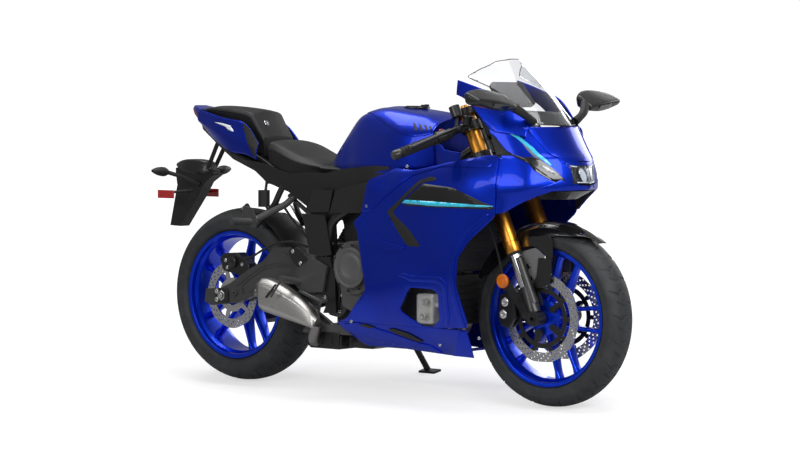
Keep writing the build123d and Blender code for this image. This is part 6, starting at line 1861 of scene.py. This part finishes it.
glass = set_in(dense[4:-4, 2:4], [1, 0.93, 0.82], [-1.6, 0, 0])
lamp = set_in(dense[9:22, 0:2], [1, 0.9, 0.62], [1.6, 0, -1.2])
arm_radius = np.interp(np.linspace(0, 1, 24), [0, 0.3, 1], [15.0, 13.0, 17.0])
head = shell([rounded(ring, 11.0) for ring in dense])
pair("mirror_head", head, SATIN_BLACK, stands=("mirrors", ()), angle=50)
pair("mirror_arm", tube(through(ARM_WAY, 24), arm_radius, 24), MATT_BLACK, angle=60)
for name, lines, count, finish, bevel in (("mirror_glass", glass, 6, MIRROR, 0.3),
                                          ("mirror_lamp", lamp, 5, GLOSS_BLACK, 0.4)):
    pair(name, sheet(ruled(lines[:, 0], lines[:, 1], count), MIRROR_INSIDE), finish, angle=60,
         thickness=1.4, bevel=bevel)
print("mirrors done")

# %% [markdown]
# ## Stage, light and camera
# A plain pale floor carries the bike and its soft shadow. The light is a studio's: a pale world and a few
# very large lamps, which lay long smooth highlights on the lacquer. The camera stands ahead and to the
# right, with a long lens, level with the middle of the bike.

# %% Floor and background
def empty_tree(owner):
    owner.use_nodes = True
    owner.node_tree.nodes.clear()
    return owner.node_tree


def seen_share(tree, mirrored):
    """1 for what the camera sees straight or through glass, a smaller share for what metal mirrors."""
    path = add_node(tree, "LightPath")
    straight, glass, metal_ray = (Value(tree, path[f"Is {ray} Ray"])
                                  for ray in ("Camera", "Transmission", "Glossy"))
    return (metal_ray * mirrored).math("MAXIMUM", straight).math("MAXIMUM", glass)


WHITE = (1, 1, 1, 1)
FLOOR_HALF = 60.0
FLOOR_MIRRORED, WORLD_MIRRORED = 0.1, 0.12
floor_mesh = bpy.data.meshes.new("floor")
square = [(x * FLOOR_HALF, y * FLOOR_HALF, 0) for x, y in ((-1, -1), (1, -1), (1, 1), (-1, 1))]
floor_mesh.from_pydata(square, [], [(0, 1, 2, 3)])
floor = bpy.data.objects.new("floor", floor_mesh)
bpy.context.scene.collection.objects.link(floor)
FLOOR = bpy.data.materials.new("Pale_floor")
tree = empty_tree(FLOOR)
matt = add_node(tree, "BsdfDiffuse", Color=(0.46, 0.46, 0.47, 1))[0]
far = add_node(tree, "VectorMath", {"operation": "LENGTH"},
               _0=add_node(tree, "TexCoord")["Object"])["Value"]
fade = add_node(tree, "MapRange", Value=far, From_Min=1.4, From_Max=4.6, To_Min=0.62, To_Max=0.95)["Result"]
glow = add_node(tree, "Emission", Color=WHITE, Strength=fade)[0]
lit = add_node(tree, "AddShader", _0=matt, _1=glow)[0]
shown = add_node(tree, "MixShader", _0=seen_share(tree, FLOOR_MIRRORED), _1=matt, _2=lit)[0]
add_node(tree, "OutputMaterial", _0=shown)
floor_mesh.materials.append(FLOOR)
floor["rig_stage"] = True

world = bpy.data.worlds.new("Studio")
bpy.context.scene.world = world
tree = empty_tree(world)
soft = add_node(tree, "Background", Color=WHITE, Strength=0.16)[0]
plain = add_node(tree, "Background", Color=WHITE, Strength=1.0)[0]
shown = add_node(tree, "MixShader", _0=seen_share(tree, WORLD_MIRRORED), _1=soft, _2=plain)[0]
add_node(tree, "OutputWorld", _0=shown)
print("floor", 2 * FLOOR_HALF, "m across")

# %% Lamps
def pose_matrix(across_way, up_way, back_way, spot):
    """The matrix whose columns are an object's own x, y and z, and its place in the room."""
    turn = np.eye(4)
    turn[:3] = np.column_stack([across_way, up_way, back_way, spot])
    return Matrix(turn.tolist())


def unit(vector):
    return vector / np.linalg.norm(vector)


def softbox(name, position, target, width, height, power):
    """A lamp of that width and height at a bike point, turned to face another."""
    lamp = bpy.data.lights.new(name, "AREA")
    lamp.shape = "RECTANGLE"
    lamp.size = width
    lamp.size_y = height
    lamp.energy = power
    obj = bpy.data.objects.new(name, lamp)
    away = unit(place(position) - place(target))
    side = unit(np.cross([0, 0, 1.0], away))
    obj.matrix_world = pose_matrix(side, np.cross(away, side), away, place(position))
    bpy.context.scene.collection.objects.link(obj)


softbox("overhead", (700, -200, 3600), (700, 0, 400), 5.0, 1.8, 135)
softbox("right_side", (900, -4200, 2100), (700, 0, 600), 4.4, 1.0, 60)
softbox("ahead", (4600, -1500, 2400), (1100, 0, 700), 2.6, 1.6, 95)
softbox("left_side", (600, 3900, 2000), (700, 0, 600), 4.0, 1.4, 62)

# %% Camera
AZIMUTH, ELEVATION, ROLL = map(math.radians, (39.8700763, 2.54401972, 0.0634311752))
DISTANCE, FOCUS_PIXELS, WIDE_PIXELS = 9516.65382, 2727.33918, 800.0
TARGET = np.array([723.901516, 0.0, 586.912699])
SENSOR_MM = 36.0
back = np.array([math.sin(AZIMUTH) * math.cos(ELEVATION), -math.cos(AZIMUTH) * math.cos(ELEVATION),
                 math.sin(ELEVATION)])
level = np.array([math.cos(AZIMUTH), math.sin(AZIMUTH), 0.0])
upward = np.cross(back, level)
right = math.cos(ROLL) * level + math.sin(ROLL) * upward
over = -math.sin(ROLL) * level + math.cos(ROLL) * upward
camera_data = bpy.data.cameras.new("camera")
camera_data.sensor_width = SENSOR_MM
camera_data.lens = FOCUS_PIXELS / WIDE_PIXELS * SENSOR_MM
camera_data.clip_end = 200.0
camera = bpy.data.objects.new("camera", camera_data)
spot = place(TARGET + DISTANCE * back)
camera.matrix_world = pose_matrix(right @ AXES, over @ AXES, back @ AXES, spot)
bpy.context.scene.collection.objects.link(camera)
bpy.context.scene.camera = camera
bpy.context.scene.view_settings.view_transform = "Standard"
print("lens", round(camera_data.lens, 1), "mm, camera height", round(spot[2], 2), "m")

# %% [markdown]
# ## Measure and finish
# The dressed bike has to stay as large as its solids. The box round everything shown is printed.

# %% Sizes and the last line
bpy.context.view_layer.update()
print("box now", plain_box())
